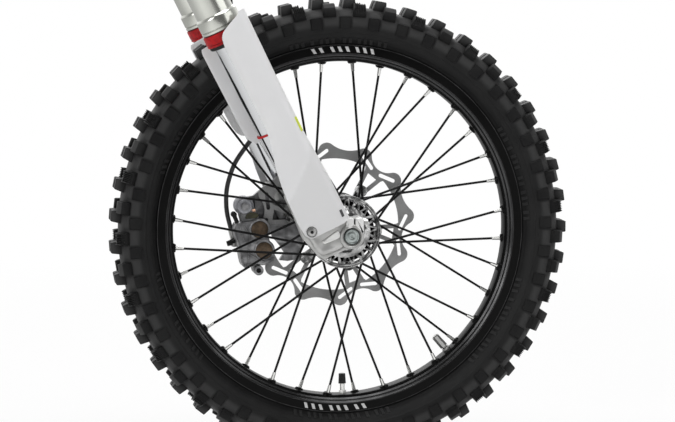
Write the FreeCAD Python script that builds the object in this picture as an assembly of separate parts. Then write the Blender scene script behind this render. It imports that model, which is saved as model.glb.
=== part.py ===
import FreeCAD, Part
import math
import os

os.makedirs("parts", exist_ok=True)

V3 = FreeCAD.Vector

# Stance: the legs lean back by the rake, the axle sits ahead of the legs and the stem behind them.
rake = 26.5
legSetback = 32.0
stemSetback = 54.0
legSide = 108.0

# General clearances: a piece on its seat, and a wheel piece beside a fork piece.
seatGap = 0.1
turnGap = 0.6

# Rim section, as side distances and radii.
rimLipSide = 23.5
rimLipWall = 3.0
rimLipHeight = 8.0
beadSeatRadius = 270.0
beadSeatWidth = 8.0
rimBedDepth = 16.5
rimBedHalf = 12.0
rimBedWall = 5.0
bossRise = 4.0
bossRadius = 7.0
bossTip = 4.4

# Tyre: carcass, then blocks in rows round it.
treadRise = 64.0
carcassHalf = 39.0
carcassWall = 7.0
blockPitches = 45
blockHeight = 13.0
tallLength = 21.5
tallWidth = 17.0
tallSide = 11.0
sideLength = 19.5
sideInner = 20.5
sideOuter = 34.5
sideDrop = 5.5
padReach = 1.8
padDrop = 31.0
rowShift = 2.6
blockStart = 0.7
faceDraft = 1.4

# Lacing: nine groups of four spokes; each has its nipple's offset and the turn from there to its hub end.
spokeRadius = 1.85
nippleRadius = 3.0
nippleLength = 12.0
groupCount = 9
groupStart = 45.0
rightNipples = ((0.75, -30.6), (-19.25, 36.9))
leftNipples = ((-9.4, -31.9), (-29.0, 40.4))
nippleSide = 4.0
nippleShift = -4.5
spokeLay = 3.4

# Hub.
barrelRadius = 20.0
flangeRightRadius = 54.8
flangeRightSide = -50.0
flangeLeftRadius = 52.0
flangeLeftSide = 30.0
flangeRim = 5.0
flangeThick = 11.0
flangeWebRight = 9.5
flangeWebLeft = 6.0
bowlRadius = 33.0
hubRightEnd = -66.0
hubLeftEnd = 62.0
bearingBossRadius = 26.0
sealThick = 4.0
sealRadius = 22.0

# Brake disc with scalloped edge and pairs of slanted slots.
discSide = 54.0
discThick = 3.0
discOuter = 126.0
discInner = 101.0
lobeCorner = (117.3, 20.0)
lobePeak = (121.37, 32.86)
lobeFoot = (115.76, 40.29)
valleyRadius = 108.0
gapRadius = 114.5
bridge = ((94.0, -14.0), (94.0, 14.0), (103.0, 20.0), (103.0, -20.0))
discPairs = 6
discTurn = -9.7
slotHalf = 2.8
slotNear = (103.3, 9.0)
slotFar = (109.3, 29.6)
armHalf = 3.3
armRoot = (66.0, 5.5)
armEnd = (96.5, 12.0)
tabCircle = 66.0
tabRadius = 9.0
carrierThick = 8.0
discBoltRadius = 6.0
discBoltHead = 2.5

# Valve and rim lock.
valveTurn = -88.7
valveRadius = 3.8
valveLength = 16.0
valveNut = (6.0, 6.0)
valveCapRadius = 5.8
valveCapLength = 15.0
lockTurn = -48.6
lockRadius = 4.0
lockLength = 30.0
lockNut = (7.0, 5.0)
lockTallNut = (6.4, 8.0, 28.5)

# Axle.
axleRadius = 12.5
axleBore = 9.0
axleRunGap = 0.05
axleSink = 0.6
axleEndRadius = 10.8
axleEndRun = 3.5
bossHollow = (13.8, 2.5)
socketDepth = 8.0
socketSize = 4.6
axleNutRadius = 18.0
axleNutThick = 8.0

# Legs.
stanchionRadius = 24.0
stanchionWall = 2.5
stanchionFoot = 58.0
stanchionTop = 600.0
socketTop = 98.0
socketRadius = 31.0
lugRadius = 18.5
lugHalf = 18.0
footWebHalf = 11.0
earHigh = 28.0
earFront = 17.5
earBack = 9.0
earSlit = 1.6
pinchUp = 21.0
pinchReach = 7.0
pinchRadius = 4.5
wiperBottom = 342.0
wiperHeight = 17.0
wiperRadius = 32.4
lipHeight = 9.0
lipRadius = 29.3
collarHeight = 25.0
collarRadius = 31.6
outerTubeRadius = 28.5
tubeTop = 905.0
capHeight = 14.0
capRadius = 25.0
capHex = 12.0
ringUp = 190.5
ringHeight = 3.0
ringProud = 2.4

# Guards: a U open to the rear round each leg.
guardWall = 2.4
guardOuterSide = 38.5
guardInnerSide = 36.0
guardFront = 8.0
guardRear = -78.0
guardCorner = 13.0
guardTopOuter = 376.0
guardTopInner = 343.0
guardBoltForward = -51.9
guardBoltUp = 37.5
guardBoltRadius = 6.6
guardBoltHead = 3.0
guardSeatRadius = 9.0

# Lower clamp and stem.
clampHeight = 45.0
clampBottom = 617.0
clampZoneRadius = 29.5
clampZoneSpare = 8.0
clampRingWall = 9.0
clampSlit = 2.0
clampEar = 15.0
clampBarFront = -22.0
clampBarRear = -72.0
clampBoltRadius = 4.0
clampBoltHead = 6.5
stemRadius = 15.0
stemLength = 205.0
stemBore = 10.5
stemBossRadius = 27.0
seatToOrigin = 30.0

# Caliper on the left leg.
caliperInner = 34.0
caliperFace = 70.0
caliperOuter = 84.0
caliperSlotHalf = 8.5
caliperSlotSpare = 6.0
plugRadius = 12.0
plugSpots = ((-105.7, 47.7), (-113.8, 15.9))
plugSink = 1.5
bulgeRadius = 15.0
padThick = 5.0
padRunGap = 0.6
pinSpot = (-110.1, 89.2)
lowPinSpot = (-134.9, -7.7)
bootRadius = 14.6
bootStep = 11.0
bootNear = 36.0
bootStepUp = 42.0
pinHeadRadius = 5.5
lowHoleRadius = 3.4
capSpot = (-130.3, 86.1)
capRadiusSmall = 4.3
bracketInner = 64.0
bracketThick = 9.0
bracketPocket = 6.0
bracketStand = 8.0
bracketStandUps = (26.0, 58.0)
hoseRadius = 3.5
sleeveRadius = 6.0
hosePoints = ((-142.0, 74.9, 62.0), (-136.0, 74.9, 90.0), (-121.0, 75.0, 121.0), (-93.0, 75.5, 150.0),
              (-62.0, 77.5, 166.0), (-33.0, 79.0, 180.0), (-13.0, 79.5, 206.0), (-6.0, 80.0, 250.0),
              (-6.0, 81.5, 343.0), (15.0, 86.5, 375.0), (17.0, 95.0, 470.0), (17.5, 97.0, 565.0),
              (17.5, 97.0, 668.0), (14.0, 88.0, 735.0), (4.0, 70.0, 790.0))
sleeveRun = 9
sleeveStart = 0.2
sleeveEnd = 0.54
guideRun = 11
guideUp = 628.0
guideHalf = 5.0

cosRake = math.cos(math.radians(rake))
sinRake = math.sin(math.radians(rake))
rimLipInner = rimLipSide - rimLipWall
rimLipRadius = beadSeatRadius + rimLipHeight
rimBedRadius = beadSeatRadius - rimBedDepth
treadRadius = beadSeatRadius + treadRise
knobTip = treadRadius + blockHeight
lugOuter = legSide + lugHalf
lugInner = legSide - lugHalf
clampTop = clampBottom + clampHeight
originUp = clampTop + seatToOrigin
wiperTop = wiperBottom + wiperHeight
collarTop = wiperTop + collarHeight
lipBottom = wiperBottom - lipHeight
discNear = discSide - discThick / 2
discFar = discSide + discThick / 2
saved = []


def forkPoint(forward, side, up):
    """World position of a point given along the leg's own directions, measured from the axle."""
    x = (forward + stemSetback) * cosRake - (up - originUp) * sinRake
    z = (forward + stemSetback) * sinRake + (up - originUp) * cosRake
    return V3(x, side, z)


def leaned(across, up):
    """Level and upright distances from the axle, turned into the leg's directions."""
    return (across * cosRake + up * sinRake, -across * sinRake + up * cosRake)


axleSpot = forkPoint(0.0, 0.0, 0.0)
forkPlace = FreeCAD.Placement(axleSpot, FreeCAD.Rotation(V3(0, 1, 0), -rake))
wheelPlace = FreeCAD.Placement(axleSpot, FreeCAD.Rotation())


def put(name, shape, place):
    shape = shape.copy()
    shape.Placement = place.multiply(shape.Placement)
    shape.exportStep("parts/" + name + ".step")
    saved.append(name)
    box = shape.BoundBox
    print(name, len(shape.Solids), "solids", round(shape.Volume / 1000.0, 1), "cm3, valid", shape.isValid(),
          [round(v) for v in (box.XMin, box.YMin, box.ZMin, box.XMax, box.YMax, box.ZMax)])


def united(shapes):
    return shapes[0].fuse(shapes[1:]).removeSplitter() if len(shapes) > 1 else shapes[0]


def polar(radius, angle, side):
    turn = math.radians(angle)
    return V3(radius * math.cos(turn), side, radius * math.sin(turn))


def ring(points):
    """Solid turned about the axle from pairs of side distance and radius."""
    corners = [V3(r, y, 0) for y, r in points]
    face = Part.Face(Part.makePolygon(corners + [corners[0]]))
    return face.revolve(V3(0, 0, 0), V3(0, 1, 0), 360)


def turned(points, forward, side):
    """Solid turned about a line along the leg from pairs of radius and height."""
    corners = [V3(r, 0, h) for r, h in points]
    face = Part.Face(Part.makePolygon(corners + [corners[0]]))
    solid = face.revolve(V3(0, 0, 0), V3(0, 0, 1), 360)
    solid.translate(V3(forward, side, 0))
    return solid


def plate(points, y0, y1):
    """Flat piece across the fork, outline as pairs of forward distance and height."""
    low, high = min(y0, y1), max(y0, y1)
    corners = [V3(f, low, s) for f, s in points]
    return Part.Face(Part.makePolygon(corners + [corners[0]])).extrude(V3(0, high - low, 0))


def cross(radius, y0, y1, forward=0.0, up=0.0):
    low, high = min(y0, y1), max(y0, y1)
    return Part.makeCylinder(radius, high - low, V3(forward, low, up), V3(0, 1, 0))


def along(radius, forward, side, low, high):
    return Part.makeCylinder(radius, high - low, V3(forward, side, low), V3(0, 0, 1))


def facets(low, high):
    """Closed solid between two polygons of as many corners, all faces flat."""
    count = len(low)
    faces = [Part.Face(Part.makePolygon(low + [low[0]])), Part.Face(Part.makePolygon(high + [high[0]]))]
    for k in range(count):
        n = (k + 1) % count
        faces.append(Part.Face(Part.makePolygon([low[k], low[n], high[n], high[k], low[k]])))
    solid = Part.Solid(Part.Shell(faces))
    return solid if solid.Volume > 0 else solid.reversed()


def prism(start, end, r0, r1, count):
    """Many-sided rod or taper between two points."""
    way = end.sub(start)
    way.normalize()
    across = way.cross(V3(0, 1, 0)) if abs(way.y) < 0.9 else way.cross(V3(1, 0, 0))
    across.normalize()
    other = way.cross(across)
    low, high = [], []
    for k in range(count):
        turn = 2 * math.pi * (k + 0.5) / count
        spoke = across * math.cos(turn) + other * math.sin(turn)
        low.append(start + spoke * r0)
        high.append(end + spoke * r1)
    return facets(low, high)


def spokeLines():
    """Each spoke: side, hub point, nipple tip, boss face and rim bed, with its direction and nipple angle."""
    lines = []
    for group in range(groupCount):
        for side, offsets in ((-1, rightNipples), (1, leftNipples)):
            for offset, turn in offsets:
                angle = groupStart + offset + group * 360.0 / groupCount
                lay = spokeLay if turn < 0 else -spokeLay
                seat = flangeRightSide if side < 0 else flangeLeftSide
                reach = flangeRightRadius if side < 0 else flangeLeftRadius
                hubEnd = polar(reach - flangeRim + 1.0, angle + turn, seat + lay)
                bed = polar(rimBedRadius, angle, nippleShift + side * nippleSide + lay * 0.3)
                way = bed.sub(hubEnd)
                way.normalize()
                face = bed.sub(way * bossRise)
                tip = face.sub(way * nippleLength)
                lines.append((side, hubEnd, tip, face, bed, way))
    return lines


def tyreSector():
    """One pitch of the tyre: a straight length of carcass with its blocks, between two radial planes."""
    half = math.pi / blockPitches
    rise = knobTip - rimLipRadius
    outer = [(rimLipInner, beadSeatRadius), (rimLipInner, rimLipRadius + 1.0),
             (0.84 * carcassHalf, rimLipRadius + 0.17 * rise), (carcassHalf, rimLipRadius + 0.41 * rise),
             (0.55 * carcassHalf, treadRadius)]
    inner = [(0.6 * carcassHalf, treadRadius - 8.0 - carcassWall), (carcassHalf - carcassWall, rimLipRadius + 0.4 * rise),
             (rimLipInner - beadSeatWidth, beadSeatRadius)]
    loop = outer + [(-y, r) for y, r in reversed(outer)] + [(-y, r) for y, r in reversed(inner)] + inner
    reach = knobTip * math.tan(half)
    corners = [V3(r, y, -reach) for y, r in loop]
    body = Part.Face(Part.makePolygon(corners + [corners[0]])).extrude(V3(0, 0, 2 * reach))
    long = knobTip * 1.2
    wedge = facets([V3(0, -100, 0), V3(long, -100, -long * math.tan(half)), V3(long, -100, long * math.tan(half))],
                   [V3(0, 100, 0), V3(long, 100, -long * math.tan(half)), V3(long, 100, long * math.tan(half))])
    body = body.common(wedge)
    blocks = []
    for side in (-1, 1):
        blocks.append(tallBlock(side))
        blocks.append(sideBlock(side))
    return united([body] + blocks), half


def tallBlock(side):
    low, high = [], []
    root = treadRadius - 8.0
    turn = math.radians(rowShift / 2)
    mid = V3(math.cos(turn), 0, math.sin(turn))
    run = V3(-math.sin(turn), 0, math.cos(turn))
    for a, b in ((-1, -1), (1, -1), (1, 1), (-1, 1)):
        y = side * tallSide + a * tallWidth / 2
        top = side * tallSide + a * (tallWidth / 2 - faceDraft)
        low.append(mid * root + run * (b * tallLength / 2) + V3(0, y, 0))
        high.append(mid * knobTip + run * (b * (tallLength / 2 - faceDraft)) + V3(0, top, 0))
    return facets(low, high)


def sideBlock(side):
    tip = knobTip - sideDrop
    outline = [(sideInner + 1.5, treadRadius - 11.0), (sideInner + 1.5, tip), (sideOuter, tip - 5.0),
               (carcassHalf + padReach, treadRadius - padDrop + 14.0), (carcassHalf + padReach, treadRadius - padDrop + 6.0),
               (carcassHalf - 9.0, treadRadius - padDrop + 9.5)]
    turn = math.radians(-rowShift / 2)
    mid = V3(math.cos(turn), 0, math.sin(turn))
    run = V3(-math.sin(turn), 0, math.cos(turn))
    low = [mid * r + V3(0, side * y, 0) - run * (sideLength / 2) for y, r in outline]
    high = [mid * r + V3(0, side * y, 0) + run * (sideLength / 2) for y, r in outline]
    return facets(low, high)


def tyre():
    sector, half = tyreSector()
    kept = []
    for face in sector.Faces:
        normal = face.normalAt(0, 0)
        spot = face.CenterOfMass
        lean = abs(math.atan2(spot.z, spot.x))
        if abs(lean - half) < 1e-4 and abs(normal.x) < 0.2 and abs(normal.y) < 1e-4:
            continue
        kept.append(face)
    step = 360.0 / blockPitches
    faces = []
    for k in range(blockPitches):
        turn = FreeCAD.Placement(V3(0, 0, 0), FreeCAD.Rotation(V3(0, 1, 0), -(blockStart - rowShift / 2 + k * step)))
        for face in kept:
            copy = face.copy()
            copy.Placement = turn
            faces.append(copy)
    shell = Part.Shell(faces)
    shell.sewShape()
    solid = Part.Solid(shell)
    return solid if solid.Volume > 0 else solid.reversed()


def rim(lines):
    half = [(rimBedHalf, rimBedRadius), (rimBedHalf + 5.0, rimBedRadius + 3.0), (rimLipSide - 2.0, rimBedRadius + 9.5),
            (rimLipSide, rimBedRadius + 13.5), (rimLipSide, rimLipRadius), (rimLipInner, rimLipRadius),
            (rimLipInner, beadSeatRadius), (rimLipInner - beadSeatWidth, beadSeatRadius - 1.0),
            (rimBedHalf - 3.0, rimBedRadius + rimBedWall)]
    body = ring(half + [(-y, r) for y, r in reversed(half)])
    bosses = [prism(face, bed.add(way * 3.5), bossTip, bossRadius, 6) for side, hubEnd, tip, face, bed, way in lines]
    body = united([body] + bosses)
    drill = []
    for angle, radius in ((valveTurn, valveRadius), (lockTurn, lockRadius)):
        drill.append(Part.makeCylinder(radius + seatGap, 40.0, polar(rimBedRadius - 20.0, angle, 0.0), polar(1, angle, 0)))
    return body.cut(Part.makeCompound(drill))


def studs(angle, radius, length, nut):
    """Threaded stud with its nut on the rim's bed."""
    way = polar(1, angle, 0.0)
    stud = Part.makeCylinder(radius, length + rimBedWall, way * (rimBedRadius + rimBedWall), way * -1)
    nutFoot = way * (rimBedRadius - seatGap)
    return united([stud, prism(nutFoot, nutFoot.sub(way * nut[1]), nut[0], nut[0], 6)])


def rimLock():
    way = polar(1, lockTurn, 0.0)
    radius, low, high = lockTallNut
    tall = prism(way * (rimBedRadius - low), way * (rimBedRadius - high), radius, radius - 0.4, 8)
    return united([studs(lockTurn, lockRadius, lockLength, lockNut), tall])


def valveCap():
    way = polar(1, valveTurn, 0.0)
    foot = way * (rimBedRadius - valveLength)
    return prism(foot, foot.sub(way * valveCapLength), valveCapRadius, valveCapRadius - 0.8, 12)


def hubFlange(radius, seat, web):
    """Flange with a thick outer ring and a lightened web."""
    thick = flangeThick / 2
    return ring([(seat - web / 2, barrelRadius - 4.0), (seat - web / 2, radius - flangeRim), (seat - thick, radius - flangeRim),
                 (seat - thick, radius), (seat + thick, radius), (seat + thick, radius - flangeRim),
                 (seat + web / 2, radius - flangeRim), (seat + web / 2, barrelRadius - 4.0)])


def flangeWindows(radius, seat):
    """Truss windows: pairs of triangles pointing in, with single ones pointing out between them."""
    outer = radius - flangeRim - 0.6
    inner = bowlRadius + 3.5
    shapes = [((outer, -15.0), (outer, -3.0), (inner, -9.0)), ((outer, 3.0), (outer, 15.0), (inner, 9.0)),
              ((inner, -6.0), (inner, 6.0), (outer - 1.5, 0.0)), ((inner, 13.0), (inner, 27.0), (outer - 1.5, 20.0))]
    cuts = []
    for group in range(groupCount):
        base = groupStart + group * 360.0 / groupCount
        for shape in shapes:
            low = [polar(r, base + a, seat - flangeThick) for r, a in shape]
            high = [polar(r, base + a, seat + flangeThick) for r, a in shape]
            cuts.append(facets(low, high))
    return Part.makeCompound(cuts)


def hub():
    right = hubFlange(flangeRightRadius, flangeRightSide, flangeWebRight)
    right = right.cut(flangeWindows(flangeRightRadius, flangeRightSide))
    left = hubFlange(flangeLeftRadius, flangeLeftSide, flangeWebLeft)
    bore = axleRadius + axleRunGap
    barrel = ring([(hubRightEnd, bore), (hubRightEnd, bearingBossRadius), (flangeRightSide, bearingBossRadius + 3.0),
                   (flangeRightSide + 14.0, barrelRadius), (flangeLeftSide - 10.0, barrelRadius),
                   (flangeLeftSide, bearingBossRadius), (hubLeftEnd, bearingBossRadius), (hubLeftEnd, bore)])
    arms = []
    low = discNear - carrierThick
    for k in range(discPairs):
        angle = discTurn + k * 360.0 / discPairs
        outline = [(barrelRadius, -9.0), (tabCircle - 14.0, -5.0), (tabCircle - 4.0, -tabRadius + 1.0),
                   (tabCircle - 4.0, tabRadius - 1.0), (tabCircle - 14.0, 5.0), (barrelRadius, 9.0)]
        web = plate(outline, low, discNear)
        post = cross(tabRadius, low, discNear, tabCircle, 0.0)
        arm = web.fuse(post)
        arm.rotate(V3(0, 0, 0), V3(0, 1, 0), -angle)
        arms.append(arm)
    return united([barrel, right, left] + arms)


def hubSeals():
    bore = axleRadius + 3.0
    pieces = []
    for end, way in ((hubRightEnd, -1), (hubLeftEnd, 1)):
        body = cross(sealRadius, end, end + way * sealThick)
        pieces.append(body.cut(cross(spacerRadius() + turnGap, end - 10, end + 10)))
    return Part.makeCompound(pieces)


def spacerRadius():
    return sealRadius - 4.0


def slotShape(lean):
    """One long slot with round ends, slanted out from the middle of its pair."""
    near = V3(slotNear[0], discSide, lean * slotNear[1])
    far = V3(slotFar[0], discSide, lean * slotFar[1])
    way = far.sub(near)
    length = way.Length
    body = Part.makeBox(length, 4 * discThick, 2 * slotHalf, V3(0, -2 * discThick, -slotHalf))
    ends = [cross(slotHalf, -2 * discThick, 2 * discThick), cross(slotHalf, -2 * discThick, 2 * discThick, length, 0)]
    slot = united([body] + ends)
    slot.rotate(V3(0, 0, 0), V3(0, 1, 0), -math.degrees(math.atan2(way.z, way.x)))
    slot.translate(near)
    return slot


def discEdge():
    """Outer edge as arcs: a wide hollow in each pair, two lobes beside it, a narrow hollow between pairs."""
    edges = []
    half = 180.0 / discPairs
    lobeTurn = math.degrees(math.atan2(lobeFoot[1], lobeFoot[0]))
    for k in range(discPairs):
        turn = discTurn + k * 2 * half
        spots = []
        for radial, tangent in (lobeFoot, lobePeak, lobeCorner):
            lean = math.degrees(math.atan2(tangent, radial))
            radius = math.hypot(radial, tangent)
            spots.append((polar(radius, turn - lean, discNear), polar(radius, turn + lean, discNear)))
        foot, peak, corner = spots
        following = polar(math.hypot(*lobeFoot), turn + 2 * half - lobeTurn, discNear)
        edges.append(Part.Arc(foot[0], peak[0], corner[0]).toShape())
        edges.append(Part.Arc(corner[0], polar(valleyRadius, turn, discNear), corner[1]).toShape())
        edges.append(Part.Arc(corner[1], peak[1], foot[1]).toShape())
        edges.append(Part.Arc(foot[1], polar(gapRadius, turn + half, discNear), following).toShape())
    return Part.Wire(edges)


def disc():
    body = Part.Face(discEdge()).extrude(V3(0, discThick, 0)).cut(cross(discInner, discNear - 1, discFar + 1))
    arms, slots = [], []
    for k in range(discPairs):
        arm = cross(tabRadius, discNear, discFar, tabCircle, 0.0).fuse(plate(bridge, discNear, discFar))
        for lean in (-1, 1):
            root, end = armRoot, armEnd
            arm = arm.fuse(plate([(root[0], lean * root[1] - armHalf), (end[0], lean * end[1] - armHalf),
                                  (end[0], lean * end[1] + armHalf), (root[0], lean * root[1] + armHalf)], discNear, discFar))
        pair = [slotShape(-1), slotShape(1)]
        for shape in [arm] + pair:
            shape.rotate(V3(0, 0, 0), V3(0, 1, 0), -(discTurn + k * 360.0 / discPairs))
        arms.append(arm)
        slots.extend(pair)
    return united([body] + arms).cut(Part.makeCompound(slots))


def discBolts():
    pieces = []
    for k in range(discPairs):
        spot = polar(tabCircle, discTurn + k * 360.0 / discPairs, discFar)
        pieces.append(prism(spot, spot.add(V3(0, discBoltHead, 0)), discBoltRadius, discBoltRadius - 0.8, 12))
    return Part.makeCompound(pieces)


def axle():
    shoulder = -lugOuter + axleSink + axleEndRun
    shaft = united([cross(axleRadius, shoulder, lugOuter), cross(axleEndRadius, -lugOuter + axleSink, shoulder)])
    shaft = shaft.cut(cross(axleBore, shoulder + socketDepth, lugOuter + 1))
    corners = [polar(socketSize, 30.0 + 60.0 * k, -lugOuter) for k in range(6)]
    recess = facets(corners, [c.add(V3(0, axleSink + socketDepth, 0)) for c in corners])
    return shaft.cut(recess)


def axleNut():
    spot = V3(0, lugOuter + seatGap, 0)
    body = prism(spot, spot.add(V3(0, axleNutThick, 0)), axleNutRadius, axleNutRadius, 6)
    return body.cut(cross(axleBore, lugOuter - 1, lugOuter + 20))


def spacers(side):
    inner = hubRightEnd if side < 0 else hubLeftEnd
    body = cross(spacerRadius(), inner + side * turnGap, side * lugInner)
    return body.cut(cross(axleRadius, -200, 200))


def foot(side):
    """Cast foot: socket round the leg, web down to the split axle clamp."""
    base = -legSetback
    earTopBack = leaned(-earBack, earHigh)
    earTopFront = leaned(earFront, earHigh)
    earLow = leaned(earFront, -4.0)
    outline = [(base - socketRadius + 1.0, socketTop - 30.0), (base - socketRadius - 3.0, 31.0), (base - socketRadius + 1.0, 17.0),
               (base - 23.0, -8.0), (base - 19.0, -12.5), (-14.0, -14.5), (0.0, -lugRadius), earLow,
               earTopFront, earTopBack, (base + socketRadius - 4.0, 52.0), (base + socketRadius - 1.0, socketTop - 30.0)]
    web = plate(outline, side * (legSide - footWebHalf), side * (legSide + footWebHalf))
    ears = plate([leaned(-earBack, 0.0), earTopBack, earTopFront, leaned(earFront, 0.0)], side * lugInner, side * lugOuter)
    socket = turned([(0, 40.0), (socketRadius - 8.0, 40.0), (socketRadius, 52.0), (socketRadius, socketTop - 3.0),
                     (socketRadius - 3.0, socketTop), (0, socketTop)], base, side * legSide)
    lug = cross(lugRadius, side * lugInner, side * lugOuter)
    rib = plate([(base - 26.0, 44.0), (base - 24.0, 4.0), (base - 18.0, -6.0), (-16.0, -8.0), (-12.0, 12.0), (base + 16.0, 44.0)],
                side * (legSide - 17.0), side * (legSide + 17.0))
    seat = cross(guardSeatRadius, side * legSide, side * (legSide + guardOuterSide - guardWall - seatGap),
                 guardBoltForward, guardBoltUp)
    body = united([web, socket, lug, ears, rib, seat])
    slit = plate([leaned(3.0, 0.0), leaned(3.0, earHigh + 5.0), leaned(3.0 + earSlit, earHigh + 5.0), leaned(3.0 + earSlit, 0.0)],
                 side * (lugInner - 1), side * (lugOuter + 1))
    hollow = along(stanchionRadius + seatGap / 4, base, side * legSide, stanchionFoot, socketTop + 10)
    around, deep = bossHollow
    dish = cross(around, side * (lugOuter - deep), side * (lugOuter + 1)) if side < 0 else cross(axleRadius, -200, 200)
    return body.cut(Part.makeCompound([slit, hollow, dish])).cut(cross(axleRadius + seatGap / 4, -200, 200))


def pinchBolts():
    pieces = []
    way = V3(cosRake, 0, -sinRake)
    f, s = leaned(earFront, pinchUp)
    for side in (-1, 1):
        for shift in (-8.5, 8.5):
            start = V3(f, side * legSide + shift, s).add(way * seatGap)
            pieces.append(prism(start, start.add(way * pinchReach), pinchRadius, pinchRadius - 0.5, 8))
    return pieces


def stanchion(side):
    outer = along(stanchionRadius, -legSetback, side * legSide, stanchionFoot, stanchionTop)
    return outer.cut(along(stanchionRadius - stanchionWall, -legSetback, side * legSide, stanchionFoot + 6, stanchionTop + 1))


def outerTube(side):
    bore = stanchionRadius + seatGap / 4
    zone = clampBottom - clampZoneSpare
    zoneTop = clampTop + clampZoneSpare
    slope = clampZoneRadius - outerTubeRadius
    points = [(bore, wiperTop), (collarRadius, wiperTop), (collarRadius, collarTop - 4.0),
              (outerTubeRadius, collarTop), (outerTubeRadius, zone - slope), (clampZoneRadius, zone), (clampZoneRadius, zoneTop),
              (outerTubeRadius, zoneTop + slope), (outerTubeRadius, tubeTop), (bore, tubeTop)]
    return turned(points, -legSetback, side * legSide)


def wiper(side):
    bore = stanchionRadius + seatGap / 4
    return turned([(bore, wiperBottom), (wiperRadius - 0.8, wiperBottom), (wiperRadius, wiperBottom + 1.5),
                   (wiperRadius, wiperTop - 1.5), (wiperRadius - 0.8, wiperTop), (bore, wiperTop)], -legSetback, side * legSide)


def lip(side):
    bore = stanchionRadius + seatGap / 4
    return turned([(bore, lipBottom), (lipRadius - 3.0, lipBottom), (lipRadius, lipBottom + 3.0), (lipRadius, wiperBottom),
                   (bore, wiperBottom)], -legSetback, side * legSide)


def forkCap(side):
    body = turned([(0, tubeTop), (outerTubeRadius, tubeTop), (outerTubeRadius, tubeTop + 3.0), (capRadius, tubeTop + 5.0),
                   (capRadius, tubeTop + capHeight), (0, tubeTop + capHeight)], -legSetback, side * legSide)
    spot = V3(-legSetback, side * legSide, tubeTop + capHeight)
    hexagon = prism(spot, spot.add(V3(0, 0, 6.0)), capHex, capHex - 1.0, 6)
    return united([body, hexagon])


def travelRing():
    bore = stanchionRadius + seatGap / 4
    points = [(bore, ringUp), (stanchionRadius + ringProud, ringUp), (stanchionRadius + ringProud, ringUp + ringHeight),
              (bore, ringUp + ringHeight)]
    return turned(points, -legSetback, -legSide)


def guardSlab(outline, side, y0, y1):
    return plate(outline, side * y0, side * y1)


def guard(side):
    """Moulded guard: a U with round corners, trimmed to its side outlines and slanted at the top."""
    outerFace = legSide + guardOuterSide
    innerFace = legSide - guardInnerSide
    length = 420.0
    low = min(side * innerFace, side * outerFace)
    width = outerFace - innerFace
    block = Part.makeBox(guardFront - guardRear, width, length, V3(guardRear, low, 0))
    corners = [e for e in block.Edges if e.Length > length - 1 and e.Vertexes[0].Point.x > guardFront - 1]
    block = block.makeFillet(guardCorner, corners)
    core = Part.makeBox(guardFront - guardWall - guardRear + 5, width - 2 * guardWall, length + 2,
                        V3(guardRear - 5, low + guardWall, -1))
    corners = [e for e in core.Edges if e.Length > length and e.Vertexes[0].Point.x > guardFront - guardWall - 1]
    core = core.makeFillet(guardCorner - guardWall, corners)
    shell = block.cut(core)
    reach = guardFront + 2.0
    outerOutline = [(reach, 29.0), (reach, guardTopOuter + 2.0), (-2.0, guardTopOuter - 4.0), (-36.0, 357.5), (-42.0, 351.0),
                    (-44.7, 334.0), (-44.5, 290.0), (-44.5, 205.0), (-46.5, 186.0), (-57.0, 146.0), (-61.5, 117.0),
                    (-63.7, 90.0), (-64.8, 54.0), (-63.0, 37.0), (-59.0, 30.5), (-53.0, 28.0), (-2.6, 26.8)]
    innerOutline = [(reach, 182.0), (reach, guardTopOuter + 2.0), (-30.0, guardTopOuter + 2.0), (-60.0, guardTopInner + 1.0),
                    (-70.0, guardTopInner - 1.0), (-73.0, guardTopInner - 7.0), (-71.0, 200.0), (-68.0, 188.0), (-60.0, 182.0)]
    frontOutline = [(reach, 64.0), (reach, guardTopOuter + 2.0), (-9.0, guardTopOuter + 2.0), (-9.0, 64.0)]
    split = outerFace - guardCorner
    outerPart = shell.common(guardSlab(outerOutline, side, split, outerFace + 1))
    innerPart = shell.common(guardSlab(innerOutline, side, innerFace - 1, innerFace + guardCorner))
    frontPart = shell.common(guardSlab(frontOutline, side, innerFace + guardCorner, split))
    body = united([outerPart, innerPart, frontPart])
    top = [V3(-100, side * (innerFace - 10), guardTopInner - 2.0), V3(-100, side * (outerFace + 10), guardTopOuter + 6.0),
           V3(-100, side * (outerFace + 10), 500), V3(-100, side * (innerFace - 10), 500)]
    slope = facets(top, [p.add(V3(200, 0, 0)) for p in top])
    body = body.cut(slope)
    return body.cut(cross(guardBoltRadius - 3.0, side * (outerFace - 5), side * (outerFace + 5), guardBoltForward, guardBoltUp))


def guardBolts():
    pieces = []
    outerFace = legSide + guardOuterSide
    for side in (-1, 1):
        head = cross(guardBoltRadius, side * (outerFace + seatGap), side * (outerFace + seatGap + guardBoltHead),
                     guardBoltForward, guardBoltUp)
        recess = cross(2.4, side * (outerFace + 1.5), side * (outerFace + 10), guardBoltForward, guardBoltUp)
        pieces.append(head.cut(recess))
    return Part.makeCompound(pieces)


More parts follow.
